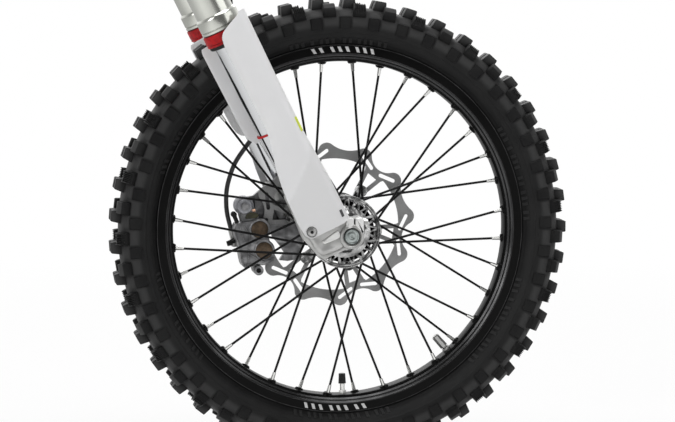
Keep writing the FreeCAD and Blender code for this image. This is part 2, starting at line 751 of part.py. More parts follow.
def lowerClamp():
    outer = clampZoneRadius + clampRingWall
    legF = -legSetback
    stemF = -stemSetback
    rings = [along(outer, legF, side * legSide, clampBottom, clampTop) for side in (-1, 1)]
    bar = []
    for side in (-1, 1):
        corners = [V3(clampBarFront, side * 4.0, clampBottom), V3(legF + 30.0, side * (legSide - 20.0), clampBottom),
                   V3(clampBarRear + 12.0, side * (legSide - 24.0), clampBottom), V3(clampBarRear, side * 26.0, clampBottom),
                   V3(clampBarRear, 0.0, clampBottom), V3(clampBarFront, 0.0, clampBottom)]
        bar.append(Part.Face(Part.makePolygon(corners + [corners[0]])).extrude(V3(0, 0, clampHeight)))
    boss = along(stemBossRadius, stemF, 0.0, clampBottom - 4.0, clampTop)
    ears = []
    for side in (-1, 1):
        spot = V3(legF - outer - clampEar + 6.0, side * legSide - clampEar, clampBottom)
        ears.append(Part.makeBox(clampEar + 8.0, 2 * clampEar, clampHeight, spot))
    body = united(rings + bar + [boss] + ears)
    cuts = []
    for side in (-1, 1):
        cuts.append(along(clampZoneRadius + seatGap / 4, legF, side * legSide, clampBottom - 1, clampTop + 1))
        cuts.append(Part.makeBox(outer + clampEar + 10, 2 * clampSlit, clampHeight + 2,
                                 V3(legF - outer - clampEar - 5, side * legSide - clampSlit, clampBottom - 1)))
        window = [V3(clampBarFront - 9.0, side * 30.0, 0), V3(clampBarFront - 6.0, side * 62.0, 0),
                  V3(clampBarRear + 20.0, side * 60.0, 0), V3(clampBarRear + 12.0, side * 36.0, 0)]
        window = [p.add(V3(0, 0, clampBottom - 1)) for p in window]
        cuts.append(facets(window, [p.add(V3(0, 0, clampHeight - 9.0)) for p in window]))
    return body.cut(Part.makeCompound(cuts))


def clampBolts():
    pieces = pinchBolts()
    legF = -legSetback
    away = legF - clampZoneRadius - clampRingWall - clampEar / 2 + 2.0
    for side in (-1, 1):
        for up in (clampBottom + 12.0, clampTop - 12.0):
            start = V3(away, side * (legSide + clampEar + seatGap), up)
            pieces.append(prism(start, start.add(V3(0, side * 6.0, 0)), clampBoltHead, clampBoltHead - 0.6, 10))
    return Part.makeCompound(pieces)


def steeringStem():
    tube = along(stemRadius, -stemSetback, 0.0, clampTop, clampTop + stemLength)
    return tube.cut(along(stemBore, -stemSetback, 0.0, clampTop - 1, clampTop + stemLength + 1))


def caliperSlot():
    spare = discOuter + caliperSlotSpare
    return ring([(discSide - caliperSlotHalf, 60.0), (discSide - caliperSlotHalf, spare), (discSide + caliperSlotHalf, spare),
                 (discSide + caliperSlotHalf, 60.0)])


def caliperBody():
    outline = [(-137.1, 69.5), (-133.1, 71.7), (-117.8, 67.0), (-94.0, 60.0), (-89.0, 54.0), (-96.2, 37.8), (-99.8, 26.9),
               (-100.4, 14.3), (-105.3, 2.6), (-105.0, -4.7), (-123.6, -5.0), (-131.2, -13.2), (-138.3, -14.5), (-143.0, -8.2),
               (-142.5, 2.0), (-150.6, 2.6), (-154.3, 9.6), (-152.0, 21.3), (-145.7, 38.1), (-144.5, 50.4), (-142.2, 60.7)]
    body = plate(outline, caliperInner, caliperFace)
    bulges = [cross(bulgeRadius, discSide, caliperOuter, f, s) for f, s in plugSpots]
    web = plate([(-112.0, 60.0), (-134.0, 44.0), (-138.0, 16.0), (-120.0, 0.0), (-108.0, 5.0), (-101.0, 50.0)], discSide,
                caliperOuter - 6.0)
    neck = plate([(-126.0, 66.0), (-98.0, 58.0), (-98.5, 84.0), (-122.0, 84.0)], caliperInner + 5.0, caliperFace - 3.0)
    boot = cross(bootRadius, bootStepUp, bracketInner, pinSpot[0], pinSpot[1])
    step = cross(bootStep, bootNear, bootStepUp, pinSpot[0], pinSpot[1])
    body = united([body, neck, boot, step, web] + bulges)
    sinks = [cross(plugRadius, caliperInner - 1, caliperInner + 5.0, f, s) for f, s in plugSpots]
    ledge = plate([(-128.0, 72.0), (-141.0, 60.0), (-146.0, 34.0), (-138.0, 30.0), (-122.0, 62.0)], caliperInner - 1, caliperInner + 3.0)
    hole = cross(lowHoleRadius, caliperInner - 1, caliperFace + 1, lowPinSpot[0], lowPinSpot[1])
    return body.cut(Part.makeCompound([caliperSlot(), ledge, hole] + sinks))


def caliperPlugs():
    return Part.makeCompound([cross(plugRadius - seatGap, caliperInner + plugSink, caliperInner + 5.0 - seatGap / 2, f, s)
                              for f, s in plugSpots])


def brakePads():
    outline = [(-99.0, 57.0), (-112.0, 64.0), (-124.0, 40.0), (-126.0, 10.0), (-116.0, 2.0), (-107.0, 6.0), (-102.0, 20.0),
               (-98.5, 40.0)]
    pieces = []
    for side in (-1, 1):
        face = discSide + side * (discThick / 2 + padRunGap)
        back = discSide + side * (caliperSlotHalf - seatGap)
        pieces.append(plate(outline, face, back))
    return Part.makeCompound(pieces)


def caliperBracket():
    top = bracketInner + bracketThick
    legRear = -legSetback - socketRadius
    outer = [(-62.0, 79.0), (-60.5, 92.0), (-67.0, 98.5), (-77.0, 97.0), (-90.0, 94.0), (-110.0, 101.0), (-120.0, 96.0),
             (-121.0, 84.0), (-108.0, 77.0), (-87.0, 76.5), (-83.1, 65.6), (-85.4, 52.5), (-88.2, 41.0), (-91.7, 22.7),
             (-89.4, 15.8), (-87.2, 6.0), (-86.0, -6.1), (-98.0, -12.8), (-87.2, -19.9), (-72.4, -24.7), (-54.2, -8.3),
             (-47.9, 18.7), (-60.4, 39.5)]
    body = plate(outer, bracketInner, top)
    pocket = plate([(-69.6, 64.6), (-69.6, 40.2), (-84.0, 42.2), (-82.2, 51.3)], bracketInner - 1, bracketInner + bracketPocket)
    stands = [cross(bracketStand, top, legSide - footWebHalf, legRear + 1.0, s) for s in bracketStandUps]
    return united([body.cut(pocket)] + stands)


def caliperPins():
    low = cross(pinHeadRadius, caliperFace + seatGap, caliperFace + 5.0, lowPinSpot[0], lowPinSpot[1])
    high = cross(pinHeadRadius, bootNear - 4.0, bootNear - seatGap, pinSpot[0], pinSpot[1])
    return Part.makeCompound([low, high])


def hoseWire(points):
    """Straight runs joined by tangent arcs, the radii as large as the runs allow."""
    spots = [V3(*p) for p in points]
    edges = []
    last = spots[0]
    radii = []
    for k in range(1, len(spots) - 1):
        before, here, after = spots[k - 1], spots[k], spots[k + 1]
        back = before.sub(here)
        ahead = after.sub(here)
        share = 0.45 * min(back.Length, ahead.Length)
        turn = math.pi - back.getAngle(ahead)
        back.normalize()
        ahead.normalize()
        start = here.add(back * share)
        end = here.add(ahead * share)
        radius = share / math.tan(turn / 2)
        radii.append(round(radius))
        middle = back.add(ahead)
        middle.normalize()
        bulge = here.add(middle * (radius / math.cos(turn / 2) - radius))
        edges.append(Part.LineSegment(last, start).toShape())
        edges.append(Part.Arc(start, bulge, end).toShape())
        last = end
    edges.append(Part.LineSegment(last, spots[-1]).toShape())
    return Part.Wire(edges), radii


def hoseSolid(points, radius):
    wire, radii = hoseWire(points)
    first = V3(*points[0])
    way = V3(*points[1]).sub(first)
    circle = Part.Wire([Part.makeCircle(radius, first, way)])
    solid = wire.makePipeShell([circle], True, True)
    print("hose radii", radii, "length", round(wire.Length), "volume ratio", round(solid.Volume / (math.pi * radius ** 2 * wire.Length), 4))
    return solid


def brakeHose():
    return hoseSolid(hosePoints, hoseRadius)


def hoseSleeve():
    start, end = V3(*hosePoints[sleeveRun]), V3(*hosePoints[sleeveRun + 1])
    way = end.sub(start)
    a = start.add(way * sleeveStart)
    b = start.add(way * sleeveEnd)
    tube = Part.makeCylinder(sleeveRadius, b.sub(a).Length, a, way)
    return tube.cut(Part.makeCylinder(hoseRadius + seatGap / 2, b.sub(a).Length, a, way))


def banjoFitting():
    """Eye and crimped ferrule at each end of the hose, with the bolt through the lower eye."""
    first, second = V3(*hosePoints[0]), V3(*hosePoints[1])
    way = second.sub(first)
    way.normalize()
    ferrule = Part.makeCylinder(hoseRadius + 1.2, 14.0, first.sub(way * 14.0), way)
    eyeSpot = first.sub(way * 20.0)
    eye = cross(7.5, eyeSpot.y - 3.5, eyeSpot.y + 3.5, eyeSpot.x, eyeSpot.z)
    bolt = cross(5.5, caliperFace + seatGap, eyeSpot.y + 9.0, eyeSpot.x, eyeSpot.z)
    lower = united([ferrule, eye, bolt])
    last, before = V3(*hosePoints[-1]), V3(*hosePoints[-2])
    way = last.sub(before)
    way.normalize()
    upper = Part.makeCylinder(hoseRadius + 1.2, 14.0, last, way)
    eyeSpot = last.add(way * 20.0)
    eye = cross(7.5, eyeSpot.y - 3.5, eyeSpot.y + 3.5, eyeSpot.x, eyeSpot.z)
    upper = united([upper, eye]).cut(cross(5.0, eyeSpot.y - 10, eyeSpot.y + 10, eyeSpot.x, eyeSpot.z))
    return Part.makeCompound([lower, upper])


def hoseGuide():
    """Small plate on the clamp's front with a loop round the hose."""
    forward, side, up = hosePoints[guideRun]
    low, high = guideUp - guideHalf, guideUp + guideHalf
    loop = along(hoseRadius + 2.6, forward, side, low, high)
    front = -legSetback + clampZoneRadius + clampRingWall
    tail = Part.makeBox(forward - front + 2.0, 4.0, high - low, V3(front - 2.0, side - 2.0, low))
    body = united([loop, tail])
    ringCut = along(clampZoneRadius + clampRingWall + seatGap, -legSetback, legSide, low - 1, high + 1)
    return body.cut(Part.makeCompound([ringCut, along(hoseRadius + seatGap / 2, forward, side, low - 1, high + 1)]))


def rubberCaps():
    upper = cross(capRadiusSmall, caliperInner, caliperInner + 10.0, capSpot[0], capSpot[1])
    middle = caliperInner + 5.0
    stalk = prism(V3(capSpot[0], middle, capSpot[1]), V3(-131.3, middle, 71.8), 3.4, 3.4, 8)
    neck = prism(V3(-145.2, 58.0, 45.4), V3(-151.0, 58.0, 46.4), 2.6, 2.6, 8)
    lower = prism(V3(-150.5, 58.0, 46.3), V3(-158.5, 58.0, 47.7), 4.6, 4.0, 10)
    return Part.makeCompound([united([upper, stalk]), united([neck, lower])])


def main():
    lines = spokeLines()
    put("tyre", tyre(), wheelPlace)
    put("rim", rim(lines), wheelPlace)
    put("nipples", Part.makeCompound([prism(tip, face, nippleRadius - 0.6, nippleRadius, 8) for s, h, tip, face, b, w in lines]),
        wheelPlace)
    hubShape = hub()
    put("hub", hubShape, wheelPlace)
    put("hub_seals", hubSeals(), wheelPlace)
    for side, name, seat, reach in ((-1, "spokes_right", flangeRightSide, flangeRightRadius),
                                    (1, "spokes_left", flangeLeftSide, flangeLeftRadius)):
        drum = cross(reach, seat - 20, seat + 20)
        rods = [prism(hubEnd, tip, spokeRadius, spokeRadius, 8) for s, hubEnd, tip, f, b, w in lines if s == side]
        put(name, Part.makeCompound(rods).cut(drum), wheelPlace)
    put("brake_disc", disc(), wheelPlace)
    put("disc_bolts", discBolts(), wheelPlace)
    put("valve", studs(valveTurn, valveRadius, valveLength, valveNut), wheelPlace)
    put("valve_cap", valveCap(), wheelPlace)
    put("rim_lock", rimLock(), wheelPlace)
    put("axle", axle(), wheelPlace)
    put("axle_nut", axleNut(), wheelPlace)
    put("guard_bolts", guardBolts(), forkPlace)
    put("travel_ring", travelRing(), forkPlace)
    body = caliperBody()
    feet = {-1: foot(-1), 1: foot(1)}
    put("caliper_body", body, forkPlace)
    put("caliper_plugs", caliperPlugs(), forkPlace)
    put("brake_pads", brakePads(), forkPlace)
    put("caliper_bracket", caliperBracket().cut(Part.makeCompound([feet[1], body])), forkPlace)
    put("caliper_pins", caliperPins(), forkPlace)
    put("rubber_caps", rubberCaps(), forkPlace)
    put("brake_hose", brakeHose(), forkPlace)
    put("hose_sleeve", hoseSleeve(), forkPlace)
    put("banjo_fitting", banjoFitting(), forkPlace)
    put("hose_guide", hoseGuide(), forkPlace)
    put("lower_clamp", lowerClamp(), forkPlace)
    put("clamp_bolts", clampBolts(), forkPlace)
    put("steering_stem", steeringStem(), forkPlace)
    for side, name in ((-1, "right"), (1, "left")):
        put("spacer_" + name, spacers(side), wheelPlace)
        put("foot_" + name, feet[side], forkPlace)
        put("stanchion_" + name, stanchion(side), forkPlace)
        put("outer_tube_" + name, outerTube(side), forkPlace)
        put("wiper_" + name, wiper(side), forkPlace)
        put("lip_" + name, lip(side), forkPlace)
        put("cap_" + name, forkCap(side), forkPlace)
        put("guard_" + name, guard(side), forkPlace)
    print(len(saved), "parts")


main()
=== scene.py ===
import math
import bmesh
import bpy
import numpy as np
from mathutils import Matrix, Vector


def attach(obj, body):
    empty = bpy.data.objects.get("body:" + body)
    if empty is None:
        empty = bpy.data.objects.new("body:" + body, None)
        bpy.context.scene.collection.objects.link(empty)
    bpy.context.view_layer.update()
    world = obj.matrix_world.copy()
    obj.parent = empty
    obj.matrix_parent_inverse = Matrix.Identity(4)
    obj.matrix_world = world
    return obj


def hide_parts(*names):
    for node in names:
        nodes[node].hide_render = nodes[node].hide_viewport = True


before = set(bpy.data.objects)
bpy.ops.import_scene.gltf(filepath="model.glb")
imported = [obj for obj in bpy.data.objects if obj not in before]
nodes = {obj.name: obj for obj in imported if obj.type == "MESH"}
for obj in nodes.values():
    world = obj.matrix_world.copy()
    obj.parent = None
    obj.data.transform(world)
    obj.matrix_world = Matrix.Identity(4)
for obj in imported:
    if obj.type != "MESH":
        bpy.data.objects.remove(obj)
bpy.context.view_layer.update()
print("frame loaded:", len(nodes), "nodes")

rake = math.radians(26.5)
axleX, axleZ = 0.357095, -0.5952  # wheel centre in the frame, in metres; the shapes below are in millimetres
bothSides = (("Right", -1), ("Left", 1))


def floats(values):
    return np.asarray(values, float)


def forkToFrame(points):
    # points along the leg (forward, side, up) from the axle: turned by the rake, then moved to the axle
    p = floats(points).reshape(-1, 3) * 0.001
    x = p[:, 0] * math.cos(rake) - p[:, 2] * math.sin(rake) + axleX
    z = p[:, 0] * math.sin(rake) + p[:, 2] * math.cos(rake) + axleZ
    return np.stack([x, p[:, 1], z], -1)


def wheelToFrame(points):
    # points about the axle (along X, side, up), moved to the axle
    return floats(points).reshape(-1, 3) * 0.001 + (axleX, 0, axleZ)


def aimed(place, way):
    # the matrix of a camera or lamp that looks along way from its place
    return Matrix.Translation(place) @ way.to_track_quat("-Z", "Y").to_matrix().to_4x4()


camera = dict(
    place=(-0.3772, -4.6055, -0.0918), yaw=0.1577, pitch=0.1021, roll=0.0007, lens=165.49,
    sensor=36, farthest=100,
)


def addCamera():
    data = bpy.data.cameras.new("photoCamera")
    data.lens = camera["lens"]
    data.sensor_width = camera["sensor"]
    data.clip_end = camera["farthest"]
    obj = bpy.data.objects.new("photoCamera", data)
    bpy.context.scene.collection.objects.link(obj)
    yaw, pitch = camera["yaw"], camera["pitch"]
    look = Vector((math.sin(yaw) * math.cos(pitch), math.cos(yaw) * math.cos(pitch), -math.sin(pitch)))
    obj.matrix_world = aimed(camera["place"], look) @ Matrix.Rotation(camera["roll"], 4, "Z")
    bpy.context.scene.camera = obj


addCamera()
print("camera placed")

stage = dict(
    floorZ=axleZ - 0.3473, floorHalf=14, floorGrey=0.85,
    skyTones=((0.14, 0.25), (0.46, 0.6), (1, 0.85)),  # tone and place of each stop, from front to back
    shadowShare=0.22, shadowNear=0.9, shadowFar=2.6,
    floorFront=0.8, frontStart=-0.8, frontEnd=-3.2,
    floorSide=0.5, sideWay=(1, -0.8, 0), sideStart=-0.3, sideEnd=-1.4,
)
lamps = dict(
    overhead=dict(place=(0.1, -0.7, 2.6), aim=(0.25, 0, -0.6), size=(3, 2), power=75),
    leftSide=dict(place=(-3.2, -2.3, 0.9), aim=(0.2, 0, -0.5), size=(1.4, 2.4), power=50),
    rightSide=dict(place=(3.43, -2.4, 0.95), aim=(0.2, 0, -0.4), size=(3.4, 3), power=40),
    backRim=dict(place=(0.6, 3.4, 1.4), aim=(0.3, 0, -0.5), size=(3, 1.6), power=33),
)


def rgba(color):
    # a grey from one number or a colour from three, with full alpha
    return (*color, 1) if isinstance(color, tuple) else (color, color, color, 1)


def addNode(tree, kind, inputs=(), **settings):
    # a shader node with its settings; every input gets a value, or a link where a socket is given
    node = tree.nodes.new("ShaderNode" + kind)
    for key, value in settings.items():
        setattr(node, key, value)
    for key, value in inputs:
        if isinstance(value, bpy.types.NodeSocket):
            tree.links.new(value, node.inputs[key])
        else:
            node.inputs[key].default_value = value
    return node


def addMath(tree, operation, first, second):
    return addNode(tree, "Math", [(0, first), (1, second)], operation=operation).outputs[0]


def addVector(tree, operation, *inputs):
    return addNode(tree, "VectorMath", list(enumerate(inputs)), operation=operation).outputs


def addRange(tree, value, start, end, low=0, high=1):
    # the value's share between start and end, carried to the range from low to high
    values = [("Value", value), ("From Min", start), ("From Max", end), ("To Min", low), ("To Max", high)]
    return addNode(tree, "MapRange", values).outputs[0]


def addMix(tree, share, first, second):
    return addNode(tree, "Mix", [(0, share), (6, first), (7, second)], data_type="RGBA").outputs[2]


def addWorld(scene):
    # white behind the object, paler at the sides, dim towards the camera, which itself sees plain white
    world = bpy.data.worlds.new("studioWorld")
    scene.world = world
    world.use_nodes = True
    tree = world.node_tree
    tree.nodes.clear()
    split = addNode(tree, "SeparateXYZ", [("Vector", addNode(tree, "TexCoord").outputs["Generated"])])
    ramp = addNode(tree, "ValToRGB", [("Fac", addRange(tree, split.outputs["Y"], -1, 1))])
    ramp.color_ramp.elements.new(0.5)
    for element, (tone, spot) in zip(ramp.color_ramp.elements, stage["skyTones"]):
        element.position = spot
        element.color = rgba(tone)
    around = addNode(tree, "Background", [("Color", ramp.outputs["Color"])]).outputs[0]
    white = addNode(tree, "Background", [("Color", rgba(1))]).outputs[0]
    path = addNode(tree, "LightPath").outputs
    mix = addNode(tree, "MixShader", [(0, path["Is Camera Ray"]), (1, around), (2, white)])
    addNode(tree, "OutputWorld", [("Surface", mix.outputs[0])])


def addFloor(scene):
    # pale floor: white to the camera and to gloss, with a share of real light and shadow close to the object
    half, low = stage["floorHalf"], stage["floorZ"]
    mesh = bpy.data.meshes.new("paleFloor")
    mesh.from_pydata([(-half, -half, low), (half, -half, low), (half, half, low), (-half, half, low)], [],
                     [(0, 1, 2, 3)])
    floor = bpy.data.objects.new("paleFloor", mesh)
    scene.collection.objects.link(floor)
    material = bpy.data.materials.new("paleFloor")
    material.use_nodes = True
    tree = material.node_tree
    tree.nodes.clear()
    paint = addNode(tree, "BsdfDiffuse", [("Color", rgba(stage["floorGrey"]))]).outputs[0]
    place = addNode(tree, "TexCoord").outputs["Object"]
    path = addNode(tree, "LightPath").outputs
    along = addNode(tree, "SeparateXYZ", [("Vector", place)]).outputs["Y"]
    ahead = addRange(tree, along, stage["frontEnd"], stage["frontStart"], stage["floorFront"])
    slant = addVector(tree, "DOT_PRODUCT", place, stage["sideWay"])["Value"]
    aside = addRange(tree, slant, stage["sideEnd"], stage["sideStart"], stage["floorSide"])
    strength = addMath(tree, "MAXIMUM", addMath(tree, "MINIMUM", ahead, aside), path["Is Camera Ray"])
    glow = addNode(tree, "Emission", [("Strength", strength)]).outputs[0]
    reach = addVector(tree, "DISTANCE", place, (axleX, 0, low))["Value"]
    fade = addRange(tree, reach, stage["shadowNear"], stage["shadowFar"], 1 - stage["shadowShare"])
    seen = addMath(tree, "MAXIMUM", path["Is Camera Ray"], path["Is Glossy Ray"])
    mix = addNode(tree, "MixShader", [(0, addMath(tree, "MULTIPLY", seen, fade)), (1, paint), (2, glow)])
    addNode(tree, "OutputMaterial", [("Surface", mix.outputs[0])])
    mesh.materials.append(material)


def addStage():
    scene = bpy.context.scene
    scene.view_settings.view_transform = "Standard"
    addWorld(scene)
    for name, lamp in lamps.items():
        light = bpy.data.lights.new(name, "AREA")
        light.shape = "RECTANGLE"
        light.size, light.size_y = lamp["size"]
        light.energy = lamp["power"]
        obj = bpy.data.objects.new(name, light)
        scene.collection.objects.link(obj)
        obj.matrix_world = aimed(lamp["place"], Vector(lamp["aim"]) - Vector(lamp["place"]))
    addFloor(scene)


addStage()
print("stage and lamps placed")


def newGroup(name, inputs, outputs):
    group = bpy.data.node_groups.new(name, "ShaderNodeTree")
    for label, kind, value in inputs:
        socket = group.interface.new_socket(label, in_out="INPUT", socket_type="NodeSocket" + kind)
        socket.default_value = value
    for label, kind in outputs:
        group.interface.new_socket(label, in_out="OUTPUT", socket_type="NodeSocket" + kind)
    return group, group.nodes.new("NodeGroupInput").outputs, group.nodes.new("NodeGroupOutput").inputs


def buildMottle():
    # soft cloudy change of colour and gloss with a fine grain, from two noises on Object coordinates
    group, start, end = newGroup("mottle", [
        ("Color", "Color", rgba(0.5)), ("Tint", "Color", rgba(0.4)), ("Cloud Scale", "Float", 14),
        ("Grain Scale", "Float", 900), ("Roughness", "Float", 0.4), ("Gloss Change", "Float", 0.08)],
        [("Color", "Color"), ("Roughness", "Float"), ("Height", "Float")])
    place = addNode(group, "TexCoord").outputs["Object"]
    cloud, grain = (
        addNode(group, "TexNoise", [("Vector", place), ("Scale", scale), ("Detail", detail)]).outputs["Fac"]
        for scale, detail in ((start["Cloud Scale"], 3), (start["Grain Scale"], 2)))
    mix = addMix(group, addRange(group, cloud, 0.35, 0.65), start["Color"], start["Tint"])
    swing = addMath(group, "MULTIPLY", addMath(group, "SUBTRACT", cloud, 0.5), start["Gloss Change"])
    group.links.new(mix, end["Color"])
    group.links.new(addMath(group, "ADD", start["Roughness"], swing), end["Roughness"])
    group.links.new(grain, end["Height"])
    return group


def buildCreviceShade():
    # painted shade: colour goes to the shade colour where ambient occlusion finds the surface deep between
    # its neighbours
    group, start, end = newGroup("crevice", [
        ("Color", "Color", rgba(0.5)), ("Dark", "Color", rgba(0.02)), ("Reach", "Float", 0.01),
        ("Open", "Float", 0.9), ("Shut", "Float", 0.3)], [("Color", "Color")])
    depth = addNode(group, "AmbientOcclusion", [("Distance", start["Reach"])], samples=6).outputs["AO"]
    clear = addRange(group, depth, start["Shut"], start["Open"])
    group.links.new(addMix(group, clear, start["Dark"], start["Color"]), end["Color"])
    return group


def buildTurned():
    # fine rings about the axle, as a turned or ground face has: noise read from the distance to that line
    group, start, end = newGroup("turned", [
        ("Centre", "Vector", (axleX, 0, axleZ)), ("Lines", "Float", 900), ("Depth", "Float", 0.3)],
        [("Shade", "Float")])
    place = addNode(group, "TexCoord").outputs["Object"]
    away = addVector(group, "SUBTRACT", place, start["Centre"])[0]
    reach = addVector(group, "LENGTH", addVector(group, "MULTIPLY", away, (1, 0, 1))[0])["Value"]
    lines = addNode(group, "TexNoise", [("W", reach), ("Scale", start["Lines"]), ("Detail", 2)],
                    noise_dimensions="1D").outputs["Fac"]
    swing = addMath(group, "MULTIPLY", addMath(group, "SUBTRACT", lines, 0.5), start["Depth"])
    group.links.new(addMath(group, "ADD", swing, 1), end["Shade"])
    return group


mottle, crevice, turned = buildMottle(), buildCreviceShade(), buildTurned()


def newMaterial(name, look):
    # Principled material fed by the groups; "light" is the colour where a piece's tone attribute is 1
    material = bpy.data.materials.new(name)
    material.use_nodes = True
    tree = material.node_tree
    shader = tree.nodes["Principled BSDF"].inputs
    shader["Metallic"].default_value = look.get("metal", 0)
    shader["Specular IOR Level"].default_value = look.get("specular", 0.5)
    base = addNode(tree, "Group", [
        ("Color", rgba(look["color"])), ("Tint", rgba(look.get("tint", look["color"]))),
        ("Cloud Scale", look.get("cloud", 14)), ("Grain Scale", look.get("grain", 900)),
        ("Roughness", look.get("rough", 0.4)), ("Gloss Change", look.get("change", 0.08))],
        node_tree=mottle).outputs
    color = base["Color"]
    if "light" in look:
        tone = addNode(tree, "Attribute", attribute_name="tone").outputs["Fac"]
        color = addMix(tree, tone, color, rgba(look["light"]))
    if "lines" in look:
        values = [("Lines", look["lines"]), ("Depth", look["lineDepth"])]
        rings = addNode(tree, "Group", values, node_tree=turned).outputs
        color = addVector(tree, "MULTIPLY", color, rings["Shade"])[0]
    # painted shade: crevices darken towards the look's shade colour
    if "dark" in look:
        color = addNode(tree, "Group", [
            ("Color", color), ("Dark", rgba(look["dark"])), ("Reach", look.get("reach", 0.01)),
            ("Open", look.get("open", 0.9)), ("Shut", look.get("shut", 0.3))],
            node_tree=crevice).outputs["Color"]
    strength, depth = look.get("bump", 0.1), look.get("depth", 0.0002)
    bump = addNode(tree, "Bump", [("Strength", strength), ("Distance", depth), ("Height", base["Height"])])
    if "wave" in look:
        place = addNode(tree, "TexCoord").outputs["Object"]
        swell = addNode(tree, "TexNoise", [("Vector", place), ("Scale", look["wave"]), ("Detail", 1)])
        bump = addNode(tree, "Bump", [
            ("Strength", 1), ("Distance", look["waveDepth"]), ("Height", swell.outputs["Fac"]),
            ("Normal", bump.outputs[0])])
    tree.links.new(color, shader["Base Color"])
    tree.links.new(base["Roughness"], shader["Roughness"])
    tree.links.new(bump.outputs[0], shader["Normal"])
    return material


# color and tint alternate in clouds, light is the colour for high tones, and the shade colour is painted
# shade in crevices up to reach metres deep
looks = dict(
    tyreRubber=dict(color=(0.0045, 0.0045, 0.0048), tint=0.009, light=0.085, rough=0.5, specular=0.13,
        cloud=34, grain=620, bump=0.5, depth=0.0006, change=0.25, dark=0.003, reach=0.012, open=0.95,
        shut=0.35),
    rimBlack=dict(color=0.003, tint=0.005, rough=0.3, specular=0.08, change=0.05, bump=0.03),
    spokeBlack=dict(color=0.004, specular=0.18),
    nippleSilver=dict(color=(0.8, 0.8, 0.78), metal=1, rough=0.25),
    hubSilver=dict(color=(0.6, 0.6, 0.595), tint=0.13, metal=1, rough=0.26, cloud=75, change=0.2, wave=70,
        waveDepth=0.006, dark=0.012, reach=0.016, open=0.85, shut=0.38, lines=700, lineDepth=0.35),
    discSteel=dict(color=0.36, tint=0.29, metal=0.9, rough=0.42, cloud=26, bump=0.2, lines=1100,
        lineDepth=0.5, dark=0.045, reach=0.035, open=0.85, shut=0.35),
    boltSteel=dict(color=(0.5, 0.5, 0.49), metal=1, rough=0.3, dark=0.02, reach=0.004),
    blackPlastic=dict(color=0.008, rough=0.5, specular=0.35, bump=0.2),
    blackRubber=dict(color=0.008, rough=0.6, specular=0.3, bump=0.3),
    axleSteel=dict(color=(0.44, 0.48, 0.47), tint=(0.34, 0.38, 0.37), metal=1, rough=0.34, cloud=80,
        dark=0.02, reach=0.006),
    # light is the painted highlight on the foot's rib
    castAluminium=dict(color=(0.54, 0.54, 0.53), tint=(0.4, 0.4, 0.39), light=(0.92, 0.92, 0.9),
        metal=0.6, rough=0.36, cloud=38, bump=0.25, depth=0.0003, grain=260, change=0.25, wave=42,
        waveDepth=0.006, dark=(0.15, 0.15, 0.14), reach=0.005),
    # a lighter copy of the cast aluminium for the foot's ears: painted highlight
    brightCast=dict(color=(0.9, 0.9, 0.89), tint=(0.8, 0.8, 0.79), metal=0.3, dark=0.08,
        reach=0.004),
    stanchionChrome=dict(color=(0.62, 0.63, 0.64), metal=1, rough=0.1, change=0.02, bump=0),
    tubeSilver=dict(color=(0.7, 0.71, 0.66), tint=(0.62, 0.63, 0.58), metal=1, rough=0.22, change=0.05,
        bump=0.03, dark=(0.1, 0.1, 0.09)),
    wiperRed=dict(color=(0.5, 0.002, 0.005), tint=(0.28, 0.001, 0.003), specular=0.25,
        cloud=150, dark=(0.1, 0.001, 0.002), reach=0.008),
    ringRed=dict(color=(0.46, 0.003, 0.006), rough=0.45, specular=0.35),
    guardWhite=dict(color=(0.775, 0.775, 0.78), tint=(0.745, 0.745, 0.755), light=(0.7, 0.7, 0.705),
        rough=0.38, specular=0.4, cloud=9, grain=1400, bump=0.06),
    decalWhite=dict(color=0.6),
    # painted shade for the guard's slot
    slotGrey=dict(color=(0.055, 0.055, 0.058), rough=0.5),
    # painted highlight: lighter bands on the rim's lip and ridge
    rimLine=dict(color=(0.05, 0.05, 0.051), tint=0.02, rough=0.35, specular=0.2, cloud=40),
    # painted reflection on the rim's bevels: a lighter metal than the rim, besides the real reflection it
    # catches
    rimEdge=dict(color=(0.062, 0.062, 0.063), tint=(0.035, 0.035, 0.036), metal=0.7, rough=0.24, cloud=30),
    markerYellow=dict(color=(0.62, 0.7, 0.06)),
    caliperGrey=dict(color=(0.33, 0.33, 0.335), tint=(0.15, 0.15, 0.155), metal=0.7, rough=0.36, cloud=55,
        bump=0.5, change=0.15, wave=55, waveDepth=0.005, dark=0.045, reach=0.009, open=0.95, shut=0.35),
    plugBronze=dict(color=(0.148, 0.1, 0.062), tint=(0.06, 0.045, 0.03), metal=0.5, rough=0.42, cloud=130,
        dark=(0.01, 0.008, 0.006), reach=0.006),
    bootGrey=dict(color=(0.52, 0.525, 0.56), tint=(0.29, 0.295, 0.32), rough=0.45, cloud=80,
        dark=(0.018, 0.018, 0.02), reach=0.006),
    copper=dict(color=(0.85, 0.52, 0.36), metal=1, rough=0.25),
    padBlack=dict(color=(0.055, 0.052, 0.022), tint=(0.02, 0.02, 0.012), rough=0.6, cloud=90),
    hoseBlack=dict(color=(0.055, 0.055, 0.056), rough=0.42, specular=0.4),
    clampBlack=dict(color=(0.022, 0.022, 0.023), tint=0.03, rough=0.42, specular=0.45, bump=0.3),
)
materials = {name: newMaterial(name, look) for name, look in looks.items()}
otherLooks = {"tyre": "tyreRubber", "valve_brass": "nippleSilver"}


def slotLook(slot):
    # a slot's look has the slot's own name in camel case, apart from the two above
    first, *rest = slot.split("_")
    return otherLooks.get(slot, first + "".join(word.capitalize() for word in rest))


for obj in nodes.values():
    for slot in obj.material_slots:
        slot.material = materials[slotLook(slot.material.name.split(".")[0])]
for slot in nodes["caliper_pins"].material_slots:
    slot.material = materials["caliperGrey"]
print("materials made:", len(materials))


